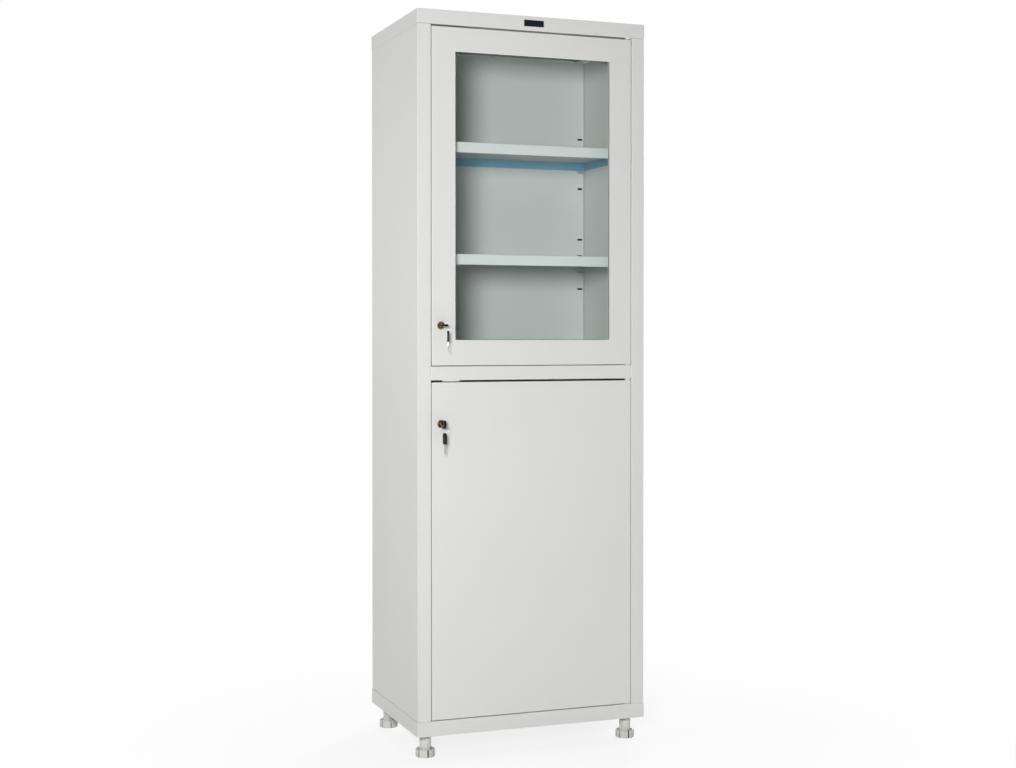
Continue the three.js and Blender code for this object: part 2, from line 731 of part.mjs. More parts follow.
// Levelling feet: a ribbed sleeve under each corner, and a notched base on a stud
function sleeveForm() {
  const bottom = -FOOT_HEIGHT + FOOT_BASE_HEIGHT - FOOT_CUP_DEPTH + FIT_GAP;
  const length = -FIT_GAP - bottom;
  const points = [];
  for (let rib = 0; rib < SLEEVE_RIBS; rib += 1) {
    for (const [share, radius] of [
      [0, SLEEVE_RADIUS - SLEEVE_RIB_DEPTH],
      [(1 - SLEEVE_RIB_SHARE) / 2, SLEEVE_RADIUS],
      [(1 + SLEEVE_RIB_SHARE) / 2, SLEEVE_RADIUS],
    ]) {
      const angle = (2 * Math.PI * (rib + share)) / SLEEVE_RIBS;
      points.push(new THREE.Vector2(radius * Math.cos(angle), radius * Math.sin(angle)));
    }
  }
  const post = extruded(new THREE.Shape(points), length).translate(0, 0, bottom);
  const socketTop = bottom + STUD_LENGTH - STUD_SOCKET + FIT_GAP;
  const bore = uprightRod(0, 0, bottom - OVERCUT, socketTop, STUD_RADIUS + FIT_GAP);
  return cut(post, bore);
}

function footBaseForm() {
  const top = FOOT_BASE_HEIGHT;
  const cupFloor = top - FOOT_CUP_DEPTH;
  const cupRadius = FOOT_BASE_RADIUS - FOOT_CUP_WALL;
  const socketRadius = STUD_RADIUS + FIT_GAP;
  const profile = [
    new THREE.Vector2(0, 0),
    new THREE.Vector2(FOOT_BASE_RADIUS - FOOT_BEVEL, 0),
    new THREE.Vector2(FOOT_BASE_RADIUS, FOOT_BEVEL),
    new THREE.Vector2(FOOT_BASE_RADIUS, top - FOOT_BEVEL),
    new THREE.Vector2(FOOT_BASE_RADIUS - FOOT_BEVEL, top),
    new THREE.Vector2(cupRadius, top),
    new THREE.Vector2(cupRadius - FOOT_BEVEL, cupFloor),
    new THREE.Vector2(socketRadius, cupFloor),
    new THREE.Vector2(socketRadius, cupFloor - STUD_SOCKET),
    new THREE.Vector2(0, cupFloor - STUD_SOCKET),
  ];
  const turned = new THREE.LatheGeometry(profile, 2 * ROUND_SIDES).rotateX(Math.PI / 2);
  const notches = [];
  for (let i = 0; i < FOOT_NOTCHES; i += 1) {
    const notch = box(
      [FOOT_BASE_RADIUS - FOOT_NOTCH_DEPTH, FOOT_BASE_RADIUS + OVERCUT],
      centred(FOOT_NOTCH_WIDTH / 2),
      [FOOT_BEVEL, top + OVERCUT],
    );
    notches.push(notch.rotateZ((2 * Math.PI * (i + 0.5)) / FOOT_NOTCHES));
  }
  return cut(turned, ...notches);
}

function addFoot(name, x, y) {
  const foot = new THREE.Group();
  foot.position.set(x, y, 0);
  cabinet.add(foot);
  addPiece(`${name}_foot_sleeve`, sleeveForm(), "grey_plastic", foot);
  const base = addPiece(`${name}_foot_base`, footBaseForm(), "grey_plastic", foot);
  base.position.z = -FOOT_HEIGHT;
  const socketFloor = -FOOT_HEIGHT + FOOT_BASE_HEIGHT - FOOT_CUP_DEPTH - STUD_SOCKET;
  const studBottom = socketFloor + FIT_GAP;
  const stud = uprightRod(0, 0, studBottom, studBottom + STUD_LENGTH - FIT_GAP, STUD_RADIUS);
  addPiece(`${name}_foot_stud`, stud, "steel", foot);
}

// The whole cabinet
addPiece("roof_panel", roofPanel(), "paint");
addPiece("base_panel", basePanel(), "paint");
addPiece("left_side_panel", leftSidePanel(), "paint");
addPiece("right_side_panel", leftSidePanel(), "paint").scale.x = -1;
addPiece("back_panel", backPanel(), "paint");
addPiece("middle_divider", middleDivider(), "paint");
addPiece("badge_plate", badgePlate(), "badge");
addPiece("upper_door_frame", upperDoorFrame(), "paint");
addGlazing();
addPiece("lower_door_panel", doorPan(LOWER_DOOR_BOTTOM, LOWER_LOCK_Z), "paint");
addPivots();
addLock("upper", UPPER_LOCK_Z, true, UPPER_RING_TURN);
addLock("lower", LOWER_LOCK_Z, false, 0);
for (const [name, top] of Object.entries(SHELF_TOPS)) {
  addShelf(name, top);
}
const footX = RIGHT - FOOT_SIDE;
const footY = REAR - FOOT_FRONT;
addFoot("front_left", -footX, -footY);
addFoot("front_right", footX, -footY);
addFoot("rear_left", -footX, footY);
addFoot("rear_right", footX, footY);

// The origin is on the floor, under the middle of the overall box with the keys in it.
const overall = new THREE.Box3().setFromObject(cabinet, true);
const middle = overall.getCenter(new THREE.Vector3());
cabinet.position.set(-middle.x, -middle.y, -overall.min.z);

const part = new THREE.Group();
part.add(cabinet);

export default part;
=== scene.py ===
import math

import bpy
from mathutils import Matrix, Vector


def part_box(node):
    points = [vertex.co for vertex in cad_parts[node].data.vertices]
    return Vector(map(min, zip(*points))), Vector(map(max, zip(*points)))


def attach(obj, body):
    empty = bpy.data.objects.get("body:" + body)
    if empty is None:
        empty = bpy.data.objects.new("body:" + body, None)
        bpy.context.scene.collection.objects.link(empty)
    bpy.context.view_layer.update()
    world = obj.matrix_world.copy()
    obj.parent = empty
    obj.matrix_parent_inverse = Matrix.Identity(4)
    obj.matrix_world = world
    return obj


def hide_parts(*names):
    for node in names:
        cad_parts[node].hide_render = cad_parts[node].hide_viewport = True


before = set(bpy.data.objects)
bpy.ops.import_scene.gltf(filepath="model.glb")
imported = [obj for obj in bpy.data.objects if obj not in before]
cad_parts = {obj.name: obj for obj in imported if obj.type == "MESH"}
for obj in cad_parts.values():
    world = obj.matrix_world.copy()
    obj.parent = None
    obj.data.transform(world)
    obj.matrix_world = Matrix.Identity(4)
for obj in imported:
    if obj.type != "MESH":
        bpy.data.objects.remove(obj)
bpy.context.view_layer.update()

bl_info = {
    "name": "Glass Door Clinic Cabinet",
    "version": (1, 0, 0),
    "blender": (4, 5, 0),
    "location": "View3D > Sidebar > Cabinet",
    "description": "Dresses a folded sheet-steel cabinet with a glazed upper door",
    "category": "Add Mesh",
}

IMAGE_WIDTH = 1016
SENSOR_WIDTH = 36.0

# How near two places count as one, and how far a cutter reaches past what it cuts, in metres
TOUCH = 1e-5
OVERCUT = 0.01

# Clearance between fitted pieces, and the widths of their softened edges
FIT_GAP = 0.0003
FINE_EDGE = 0.0003
EDGE = 0.0004
ROUND_EDGE = 0.0005

# Small sizes that stay as they are. The plug's step and tail are measured from the door's face.
CLIP_THICKNESS = 0.002
BASE_MIDDLE = 0.05
BOW_FLAT = 0.0001
RETAINER_SCREW_RADIUS = 0.003
CAM_SCREW_RADIUS = 0.0045
PLUG_STEP = 0.0008
TAIL_START = 0.021
TAIL_END = 0.0273

# Grip notches round a foot, and the depths of a blade's cuts from its tip on
NOTCHES = 6
TOOTH_DEPTHS = (0.0012, 0, 0.0007, 0, 0.0014, 0.0004, 0.001, 0, 0.0009, 0)

# The groove along a blade: its near and far side from the middle, its depth and where it starts
GROOVE_NEAR = 0.0006
GROOVE_FAR = 0.0014
GROOVE_DEPTH = 0.0003
GROOVE_START = 0.003

# Where each light stands, where it aims and how wide it is
LIGHTS = {
    "front": ((-1.62, -3.15, 1.38), (0, 0, 1.0), 0.7),
    "rear": ((2.4, 3.4, 1.7), (0, 0, 0.9), 1.8),
    "top": ((0.3, 0.3, 4.4), (0, 0, 0), 2.0),
    "side": ((-1.6, 0.3, 1.3), (0, 0.1, 1.25), 0.8),
}

# The floor's share of white grows from FADE_LEAST near the cabinet to all white at FADE_END
FLOOR_RADIUS = 9
FADE_START = 0.4
FADE_END = 1.3
FADE_LEAST = 0.82

# The finish of the painted and the plated pieces, and the CAD slot that it stands for
PAINTED = ("grey_powder_coat", "grey_paint")
PLATED = ("zinc_plate", "zinc_steel")

SIDES = ("left", "right")
FEET = ("front_left", "front_right", "rear_left", "rear_right")
SHELVES = ("upper_shelf", "middle_shelf", "lower_shelf")
DOORS = ("upper", "lower")

LEFT = Vector((-1, 0, 0))
RIGHT = Vector((1, 0, 0))
FRONT = Vector((0, -1, 0))
REAR = Vector((0, 1, 0))
UP = Vector((0, 0, 1))
DOWN = Vector((0, 0, -1))


def linear(red, green, blue):
    """A colour given in display levels from 0 to 255, as Blender's linear values."""
    levels = [level / 255 for level in (red, green, blue)]
    return tuple(v / 12.92 if v <= 0.04045 else ((v + 0.055) / 1.055) ** 2.4 for v in levels)


# Sizes and colours that a user would change

def length(name, description, default):
    return bpy.props.FloatProperty(
        name=name, description=description, default=default, precision=5, unit="LENGTH"
    )


def colour(name, description, default):
    return bpy.props.FloatVectorProperty(
        name=name, description=description, default=default, size=3, min=0, max=1, subtype="COLOR"
    )


def power(name, description, default):
    return bpy.props.FloatProperty(
        name=name, description=description, default=default, subtype="POWER", unit="POWER"
    )


class CabinetSizes(bpy.types.PropertyGroup):
    """Sizes of the folded sheet and the small parts"""

    sheet: length("Sheet", "Thickness of the folded steel", 0.001)
    fold_radius: length("Fold radius", "Outer radius of a fold", 0.0018)
    pan_return: length("Pan return", "Turned-in edge of the roof and base", 0.026)
    gusset: length("Gusset", "Leg of the gusset over each foot", 0.09)
    stile_depth: length("Stile depth", "Depth of the boxed front stile", 0.02)
    stile_width: length("Stile width", "Width of the boxed front stile", 0.034)
    stile_lip: length("Stile lip", "Slotted lip behind the stile", 0.028)
    rear_lip: length("Rear lip", "Turned-in rear edge of a side", 0.016)
    door_return: length("Door return", "Turned-in rear edge of a door", 0.012)
    window_frame: length("Window frame", "Border of the door round its glass", 0.06)
    slot_width: length("Slot width", "Width of a shelf clip's slot", 0.014)
    slot_height: length("Slot height", "Height of a shelf clip's slot", 0.005)
    slot_pitch: length("Slot pitch", "From one clip slot to the next", 0.045)
    divider_gap: length("Divider gap", "Between the lower door and the divider", 0.0035)
    stile_gap: length("Stile gap", "Between a door and the stile", 0.0022)
    tab_inset: length("Tab inset", "From the lower door's edge to its stop tab", 0.028)
    tab_length: length("Tab length", "Length of the stop tab", 0.043)
    tab_depth: length("Tab depth", "How far back the stop tab reaches", 0.007)
    screw_inset: length("Screw inset", "From the retainer's edge to its screws", 0.0075)
    door_drop: length("Door drop", "How far the doors' lower edges reach down into their gaps", 0.0018)
    ledge: length("Ledge", "How far the roof and base stand proud of the sides", 0.001)
    # The painted blue reflection inside the upper shelf's flanges stops this far above their lower edge
    reflection_edge: length("Film edge", "Bare lower edge of the upper shelf's flanges", 0.003)
    back_gap: length("Back gap", "Fine gap between the back and each side", 0.0006)
    notch_width: length("Notch width", "Width of a grip notch in a foot", 0.0032)
    notch_depth: length("Notch depth", "Depth of a grip notch in a foot", 0.008)
    cover_rim: length("Cover rim", "How far a slot cover reaches past the slots", 0.003)
    cover_depth: length("Cover depth", "Depth of the covers behind the slots", 0.014)
    badge_rim: length("Badge rim", "Width of the badge plate's pale rim", 0.0011)
    badge_sink: length("Badge sink", "Depth of the badge plate's face in its rim", 0.0003)
    bezel_radius: length("Bezel radius", "Radius of a lock's bezel", 0.01)
    bezel_height: length("Bezel height", "How far a bezel stands proud", 0.0025)
    barrel_radius: length("Barrel radius", "Radius of a lock's barrel", 0.008)
    barrel_length: length("Barrel length", "Depth of a lock's barrel", 0.022)
    plug_radius: length("Plug radius", "Radius of a lock's plug", 0.006)
    plug_neck: length("Plug neck", "Radius of a plug's face in its recess", 0.005)
    recess_radius: length("Recess radius", "Radius of the recess in a bezel", 0.0073)
    recess_depth: length("Recess depth", "Depth of the recess in a bezel", 0.0018)
    keyway_width: length("Keyway width", "Width of the slot for a key", 0.0056)
    keyway_height: length("Keyway height", "Height of the slot for a key", 0.0022)
    keyway_depth: length("Keyway depth", "Depth of the slot for a key", 0.0153)
    tail_width: length("Tail width", "Width of a plug's square tail", 0.007)
    key_standoff: length("Key standoff", "From the door's face to a key's bow", 0.009)
    bow_length: length("Bow length", "Length of a key's bow", 0.027)
    bow_width: length("Bow width", "Width of a key's bow", 0.019)
    bow_thickness: length("Bow thickness", "Thickness of a key's bow", 0.005)
    key_hole: length("Key hole", "Radius of the hole in a bow", 0.0034)
    key_hole_edge: length("Key hole edge", "From the bow's end to its hole", 0.0065)
    bow_shoulder: length("Bow shoulder", "Rounding of a bow beside its blade", 0.003)
    thumb_rim: length("Thumb rim", "Border of a bow's thumb recess", 0.0021)
    thumb_depth: length("Thumb depth", "Depth of a bow's thumb recess", 0.0005)
    key_hook: length("Key hook", "From the wire's middle to the hole's middle", 0.0024)
    blade_length: length("Blade length", "Length of a key's blade", 0.024)
    blade_width: length("Blade width", "Width of a key's blade", 0.005)
    blade_thickness: length("Blade thickness", "Thickness of a key's blade", 0.0016)
    tooth_pitch: length("Tooth pitch", "From one cut of a blade to the next", 0.0015)
    blade_tip: length("Blade tip", "Bevel of a blade's tip", 0.0012)
    collar_length: length("Collar length", "Length of the collar on a blade", 0.0022)
    ring_radius: length("Ring radius", "Radius of a key ring", 0.011)
    ring_wire: length("Ring wire", "Thickness of a ring's two turns of wire", 0.0007)
    wire_end: length("Wire end", "Length of a ring's wire end", 0.0024)
    ring_turn: bpy.props.FloatProperty(
        name="Ring turn", description="Turn of the upper ring about an upright axis",
        default=math.radians(-21), subtype="ANGLE",
    )


class CabinetFinishes(bpy.types.PropertyGroup):
    """Colours of the cabinet's finishes"""

    paint: colour("Paint", "Light grey powder coat", linear(208, 208, 206))
    # Painted reflection: a pale blue inside the upper shelf's flanges that stands in for blue light
    # reflected into their shade
    film: colour("Film", "Blue film inside the upper shelf's flanges", linear(128, 172, 196))
    glass: colour("Glass", "Tint of one face of the window glass", (0.966, 0.994, 0.990))
    brass: colour("Brass", "Lock bezel and plug", linear(164, 144, 104))
    blade: colour("Key blade", "Pale brass of the key blades", linear(184, 176, 156))
    zinc: colour("Zinc", "Plated pins, clips and cams", linear(186, 189, 193))
    # The key bows' black plastic colour is also the painted shade in the lock bezels' recesses
    bow: colour("Key bow", "Black plastic of the keys", linear(14, 14, 16))
    nylon: colour("Nylon", "Pivot washers", linear(236, 236, 232))
    foot: colour("Foot", "Grey plastic of the feet", linear(202, 203, 197))
    # The gasket's rubber colour is also the painted shade inside the slot covers
    rubber: colour("Rubber", "Gasket round the glass", linear(30, 33, 31))
    badge: colour("Badge", "Dark face of the badge plate", linear(16, 20, 28))
    badge_rim: colour("Badge rim", "Pale rim of the badge plate", linear(196, 198, 200))
    floor: colour("Floor", "Pale studio floor", linear(244, 244, 244))


class CabinetStage(bpy.types.PropertyGroup):
    """Camera and lights"""

    camera_place: bpy.props.FloatVectorProperty(
        name="Camera place", description="Where the camera stands", size=3,
        default=(-1.4414, -3.8115, 1.0236), subtype="TRANSLATION", unit="LENGTH",
    )
    camera_yaw: bpy.props.FloatProperty(
        name="Camera yaw", description="Turn of the camera towards the right",
        default=math.radians(20.713), subtype="ANGLE",
    )
    camera_pitch: bpy.props.FloatProperty(
        name="Camera pitch", description="Tilt of the camera, down is negative",
        default=math.radians(-0.673), subtype="ANGLE",
    )
    focal_pixels: bpy.props.FloatProperty(
        name="Focal length", description="Focal length in pixels of the picture",
        default=1587.6, subtype="PIXEL",
    )
    shift_pixels: bpy.props.FloatProperty(
        name="Shift", description="Upward shift of the frame in pixels of the picture",
        default=-30.0, min=-200, max=200, subtype="PIXEL",
    )
    front_power: power("Front light", "Power of the light at the front", 93.0)
    side_power: power("Side light", "Power of the light at the left", 6.6)
    rear_power: power("Rear light", "Power of the light behind", 110.0)
    top_power: power("Top light", "Power of the light overhead", 48.0)
    sky: bpy.props.FloatProperty(
        name="Room light", description="Even light from all round", default=0.14,
    )


# Modelling by hand, one step at a time

def edit_mode():
    bpy.ops.object.mode_set(mode="EDIT")


def object_mode():
    bpy.ops.object.mode_set(mode="OBJECT")


def deselect_all():
    active = bpy.context.view_layer.objects.active
    if active is not None and active.mode != "OBJECT":
        object_mode()
    bpy.ops.object.select_all(action="DESELECT")


def make_active(piece):
    deselect_all()
    piece.select_set(True)
    bpy.context.view_layer.objects.active = piece


def started(name):
    piece = bpy.context.object
    piece.name = name
    piece.data.name = name
    bpy.ops.object.transform_apply(location=True, rotation=True, scale=True)
    return piece


def start_block(name, low, high):
    low, high = Vector(low), Vector(high)
    deselect_all()
    bpy.ops.mesh.primitive_cube_add(size=1, location=(low + high) / 2)
    bpy.context.object.scale = high - low
    return started(name)


def start_rod(name, start, end, radius, sides=48):
    start, end = Vector(start), Vector(end)
    way = end - start
    deselect_all()
    bpy.ops.mesh.primitive_cylinder_add(
        vertices=sides, radius=radius, depth=way.length, location=(start + end) / 2,
        rotation=way.to_track_quat("Z", "Y").to_euler(),
    )
    return started(name)


def start_copy(name, node):
    """A copy of a CAD node's mesh with its loose triangles joined into flat faces"""
    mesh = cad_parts[node].data.copy()
    piece = bpy.data.objects.new(name, mesh)
    mesh.name = name
    mesh.materials.clear()
    bpy.context.scene.collection.objects.link(piece)
    make_active(piece)
    bpy.ops.mesh.customdata_custom_splitnormals_clear()
    edit_mode()
    bpy.ops.mesh.select_all(action="SELECT")
    bpy.ops.mesh.remove_doubles(threshold=2e-6)
    bpy.ops.mesh.dissolve_limited(angle_limit=math.radians(0.5))
    object_mode()
    return piece


def start_picking(piece, kind):
    """Opens a piece's mesh to pick its faces or edges, with none picked yet"""
    make_active(piece)
    edit_mode()
    bpy.ops.mesh.select_mode(type=kind)
    bpy.ops.mesh.select_all(action="DESELECT")


def pick_faces(piece, test):
    start_picking(piece, "FACE")
    object_mode()
    for face in piece.data.polygons:
        face.select = test(face)
    edit_mode()


def pick_edges(piece, test):
    start_picking(piece, "EDGE")
    object_mode()
    points = [vertex.co for vertex in piece.data.vertices]
    for edge in piece.data.edges:
        edge.select = test(*(points[i] for i in edge.vertices))
    edit_mode()


def facing(way):
    return lambda face: face.normal.dot(way) > 0.99


def open_side(piece, way, rim=0):
    """Takes away the side that faces that way, up to a turned-in rim"""
    pick_faces(piece, facing(way))
    if rim:
        bpy.ops.mesh.inset(thickness=rim, use_even_offset=True)
    bpy.ops.mesh.delete(type="FACE")
    object_mode()


def round_folds(piece, radius):
    start_picking(piece, "EDGE")
    bpy.ops.mesh.edges_select_sharp(sharpness=math.radians(40))
    bpy.ops.mesh.bevel(offset=radius, segments=3, affect="EDGES", clamp_overlap=True)
    object_mode()


def draw_out(way):
    """Extrudes the picked faces or edges by that much"""
    bpy.ops.mesh.extrude_region_move(TRANSFORM_OT_translate={"value": way})


def apply_modifier(piece, kind, **settings):
    make_active(piece)
    modifier = piece.modifiers.new(kind.lower(), kind)
    for setting, value in settings.items():
        setattr(modifier, setting, value)
    bpy.ops.object.modifier_apply(modifier=modifier.name)


def thicken(piece, sheet):
    apply_modifier(piece, "SOLIDIFY", thickness=sheet, offset=-1, use_even_offset=True)


def soften(piece, width, segments=2):
    apply_modifier(
        piece, "BEVEL", width=width, segments=segments, limit_method="ANGLE",
        angle_limit=math.radians(35), use_clamp_overlap=True,
    )


def smooth(piece):
    make_active(piece)
    bpy.ops.object.shade_smooth_by_angle(angle=math.radians(38))
    apply_modifier(piece, "WEIGHTED_NORMAL", keep_sharp=True)


def join(*pieces):
    make_active(pieces[0])
    for piece in pieces[1:]:
        piece.select_set(True)
    bpy.ops.object.join()
    return pieces[0]


def cut_away(piece, *cutters):
    cutter = join(*cutters) if len(cutters) > 1 else cutters[0]
    apply_modifier(piece, "BOOLEAN", object=cutter, operation="DIFFERENCE", solver="EXACT")
    bpy.data.objects.remove(cutter)


def slice_across(piece, at, way):
    """Adds a line of edges round a piece where a plane meets it"""
    make_active(piece)
    edit_mode()
    bpy.ops.mesh.select_all(action="SELECT")
    bpy.ops.mesh.bisect(plane_co=at, plane_no=way)
    object_mode()


def place(piece, matrix):
    make_active(piece)
    piece.matrix_world = matrix
    bpy.ops.object.transform_apply(location=True, rotation=True, scale=True)


def copy_of(piece, name, matrix):
    mesh = piece.data.copy()
    mesh.name = name
    copy = bpy.data.objects.new(name, mesh)
    bpy.context.scene.collection.objects.link(copy)
    place(copy, matrix)
    return copy


def seat(piece, body, finish, slot, *nodes):
    """Gives a finished piece its finish and body, and hides the CAD nodes it stands for"""
    if not piece.data.materials:
        piece.data.materials.append(material(finish))
    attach(piece, body)
    if nodes:
        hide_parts(*nodes)


def smooth_and_seat(piece, *seating):
    smooth(piece)
    seat(piece, *seating)


def coat(node, finish):
    """A CAD node that stays gets its finish"""
    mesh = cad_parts[node].data
    mesh.materials.clear()
    mesh.materials.append(material(finish))


# Finishes

class Finish:
    """One material while its nodes are put together"""

    def __init__(self, name):
        self.material = bpy.data.materials.new(name)
        self.material.use_nodes = True
        self.tree = self.material.node_tree
        self.shader = self.tree.nodes["Principled BSDF"]

    def node(self, kind, **values):
        node = self.tree.nodes.new(kind)
        for socket, value in values.items():
            node.inputs[socket.replace("_", " ")].default_value = value
        return node

    def link(self, start, end):
        self.tree.links.new(start, end)

    def set(self, **values):
        for socket, value in values.items():
            self.shader.inputs[socket.replace("_", " ")].default_value = value

    def noise(self, scale, detail=2.0, stretch=(1, 1, 1)):
        coords = self.node("ShaderNodeTexCoord")
        mapping = self.node("ShaderNodeMapping", Scale=stretch)
        noise = self.node("ShaderNodeTexNoise", Scale=scale, Detail=detail)
        self.link(coords.outputs["Object"], mapping.inputs["Vector"])
        self.link(mapping.outputs["Vector"], noise.inputs["Vector"])
        return noise.outputs[0]

    def mottle(self, factor, tint, spread):
        """Varies the colour a little below and above the tint"""
        ramp = self.tree.nodes.new("ShaderNodeValToRGB")
        ramp.color_ramp.elements[0].position = 0.3
        ramp.color_ramp.elements[1].position = 0.7
        ramp.color_ramp.elements[0].color = (*(c * (1 - spread) for c in tint), 1)
        ramp.color_ramp.elements[1].color = (*(min(c * (1 + spread), 1) for c in tint), 1)
        self.link(factor, ramp.inputs["Fac"])
        self.link(ramp.outputs["Color"], self.shader.inputs["Base Color"])

    def gloss(self, factor, low, high):
        spread = self.node("ShaderNodeMapRange", To_Min=low, To_Max=high)
        self.link(factor, spread.inputs["Value"])
        self.link(spread.outputs["Result"], self.shader.inputs["Roughness"])

    def relief(self, height, strength, distance):
        bump = self.node("ShaderNodeBump", Strength=strength, Distance=distance)
        self.link(height, bump.inputs["Height"])
        self.link(bump.outputs["Normal"], self.shader.inputs["Normal"])


def powder_coat(name, tint):
    """Semi-gloss powder coat with a fine orange peel"""
    finish = Finish(name)
    finish.mottle(finish.noise(3.0, 3.0), tint, 0.012)
    finish.gloss(finish.noise(40.0, 3.0), 0.36, 0.46)
    finish.relief(finish.noise(700.0, 1.0), 0.05, 0.0004)
    return finish.material


def plated_metal(name, tint, low, high):
    """Plated or drawn metal with faint streaks"""
    finish = Finish(name)
    finish.set(Metallic=1.0)
    finish.mottle(finish.noise(120.0, 3.0), tint, 0.06)
    finish.gloss(finish.noise(260.0, 3.0, (1, 1, 0.2)), low, high)
    finish.relief(finish.noise(900.0, 2.0, (1, 1, 0.2)), 0.06, 0.0002)
    return finish.material


def moulded_plastic(name, tint, low, high, grain, shine=0.35):
    """Moulded plastic with a fine spark-eroded grain"""
    finish = Finish(name)
    finish.set(Specular_IOR_Level=shine)
    finish.mottle(finish.noise(60.0, 2.0), tint, 0.03)
    finish.gloss(finish.noise(300.0, 2.0), low, high)
    finish.relief(finish.noise(grain, 2.0), 0.12, 0.0002)
    return finish.material


def window_glass(name, tint):
    """A clear pane with a green cast, which mirrors more towards its edges"""
    finish = Finish(name)
    finish.set(Metallic=1.0, Base_Color=(1, 1, 1, 1))
    finish.gloss(finish.noise(30.0, 2.0), 0.0, 0.04)
    clear = finish.node("ShaderNodeBsdfTransparent", Color=(*tint, 1))
    mirror = finish.node("ShaderNodeFresnel", IOR=1.12)
    mix = finish.node("ShaderNodeMixShader")
    output = finish.tree.nodes["Material Output"]
    finish.link(mirror.outputs["Fac"], mix.inputs[0])
    finish.link(clear.outputs["BSDF"], mix.inputs[1])
    finish.link(finish.shader.outputs["BSDF"], mix.inputs[2])
    finish.link(mix.outputs["Shader"], output.inputs["Surface"])
    return finish.material


# How each finish is made, its colour and the settings that its maker takes
FINISHES = {
    "grey_powder_coat": (powder_coat, "paint"),
    # Painted reflection: stands in for blue light reflected into the shaded flanges of the upper shelf
    "shelf_film": (powder_coat, "film"),
    "zinc_plate": (plated_metal, "zinc", 0.24, 0.42),
    "turned_brass": (plated_metal, "brass", 0.2, 0.34),
    "key_brass": (plated_metal, "blade", 0.24, 0.38),
    "badge_rim": (plated_metal, "badge_rim", 0.3, 0.42),
    "badge_face": (moulded_plastic, "badge", 0.25, 0.35, 1600.0, 0.12),
    # Real black plastic on the key bows, and painted shade in the lock bezels' recesses
    "key_bow_plastic": (moulded_plastic, "bow", 0.34, 0.46, 1400.0, 0.1),
    "washer_nylon": (moulded_plastic, "nylon", 0.4, 0.5, 900.0),
    "moulded_foot": (moulded_plastic, "foot", 0.42, 0.56, 1100.0),
    # Real rubber on the gasket, and painted shade inside the slot covers
    "strip_rubber": (moulded_plastic, "rubber", 0.6, 0.75, 700.0, 0.1),
    "clear_glass": (window_glass, "glass"),
}


def material(name):
    """The finish of that name, put together the first time it is asked for"""
    found = bpy.data.materials.get(name)
    if found is not None:
        return found
    make, tint, *settings = FINISHES[name]
    return make(name, getattr(bpy.context.scene.cabinet_finishes, tint), *settings)


# Folded sheet

def folded_pan(name, low, high, open_way, rim, sizes):
    """A block opened on one side and folded from sheet"""
    pan = start_block(name, low, high)
    open_side(pan, open_way, rim)
    round_folds(pan, sizes.fold_radius)
    thicken(pan, sizes.sheet)
    return pan


def paint_light_inside(pan, low, high, light_finish, where=lambda face: True):
    """Paints the faces that look into a painted pan with a finish that stands in for light: painted
    shade in the slot covers, a painted blue reflection in the upper shelf
    """
    pan.data.materials.append(material("grey_powder_coat"))
    pan.data.materials.append(material(light_finish))
    middle = (low + high) / 2
    pick_faces(pan, lambda face: face.normal.dot(middle - face.center) > 0 and where(face))
    pan.active_material_index = 1
    bpy.ops.object.material_slot_assign()
    object_mode()


def slot_cutters(x, y, levels, sizes):
    """Blocks that cut a row of slots through the sheet at that place"""
    through = 2.5 * sizes.sheet
    reach = Vector((sizes.slot_width / 2, through, sizes.slot_height / 2))
    cutters = []
    for z in levels:
        middle = Vector((x, y, z))
        cutters.append(start_block("slot", middle - reach, middle + reach))
    return cutters


def slot_levels(sizes):
    """Heights of the clip slots: one at each clip, one pitch below it and two above"""
    levels = []
    for shelf in SHELVES:
        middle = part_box(shelf)[0].z - FIT_GAP - CLIP_THICKNESS / 2
        levels += [middle + step * sizes.slot_pitch for step in (-1, 0, 1, 2)]
    return levels


class CABINET_OT_roof_and_base(bpy.types.Operator):
    """Folds the roof pan and the base pan with its foot gussets"""

    bl_idname = "cabinet.roof_and_base"
    bl_label = "Roof and Base"

    def execute(self, context):
        sizes = context.scene.cabinet_sizes
        roof = folded_pan("roof_fold", *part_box("roof_panel"), DOWN, sizes.pan_return, sizes)
        smooth_and_seat(roof, "carcass", *PAINTED, "roof_panel")

        low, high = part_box("base_panel")
        base = start_block("base_fold", low, high)
        pick_faces(base, facing(DOWN))
        bpy.ops.mesh.inset(thickness=sizes.pan_return, use_even_offset=True)
        bpy.ops.mesh.select_mode(type="VERT")
        bpy.ops.mesh.bevel(offset=sizes.gusset, segments=1, affect="VERTICES", clamp_overlap=False)
        object_mode()
        middle = (low + high) / 2
        pick_faces(
            base, lambda face: facing(DOWN)(face) and (face.center - middle).xy.length < BASE_MIDDLE
        )
        bpy.ops.mesh.delete(type="FACE")
        object_mode()
        round_folds(base, sizes.fold_radius)
        thicken(base, sizes.sheet)
        smooth_and_seat(base, "carcass", *PAINTED, "base_panel")
        return {"FINISHED"}


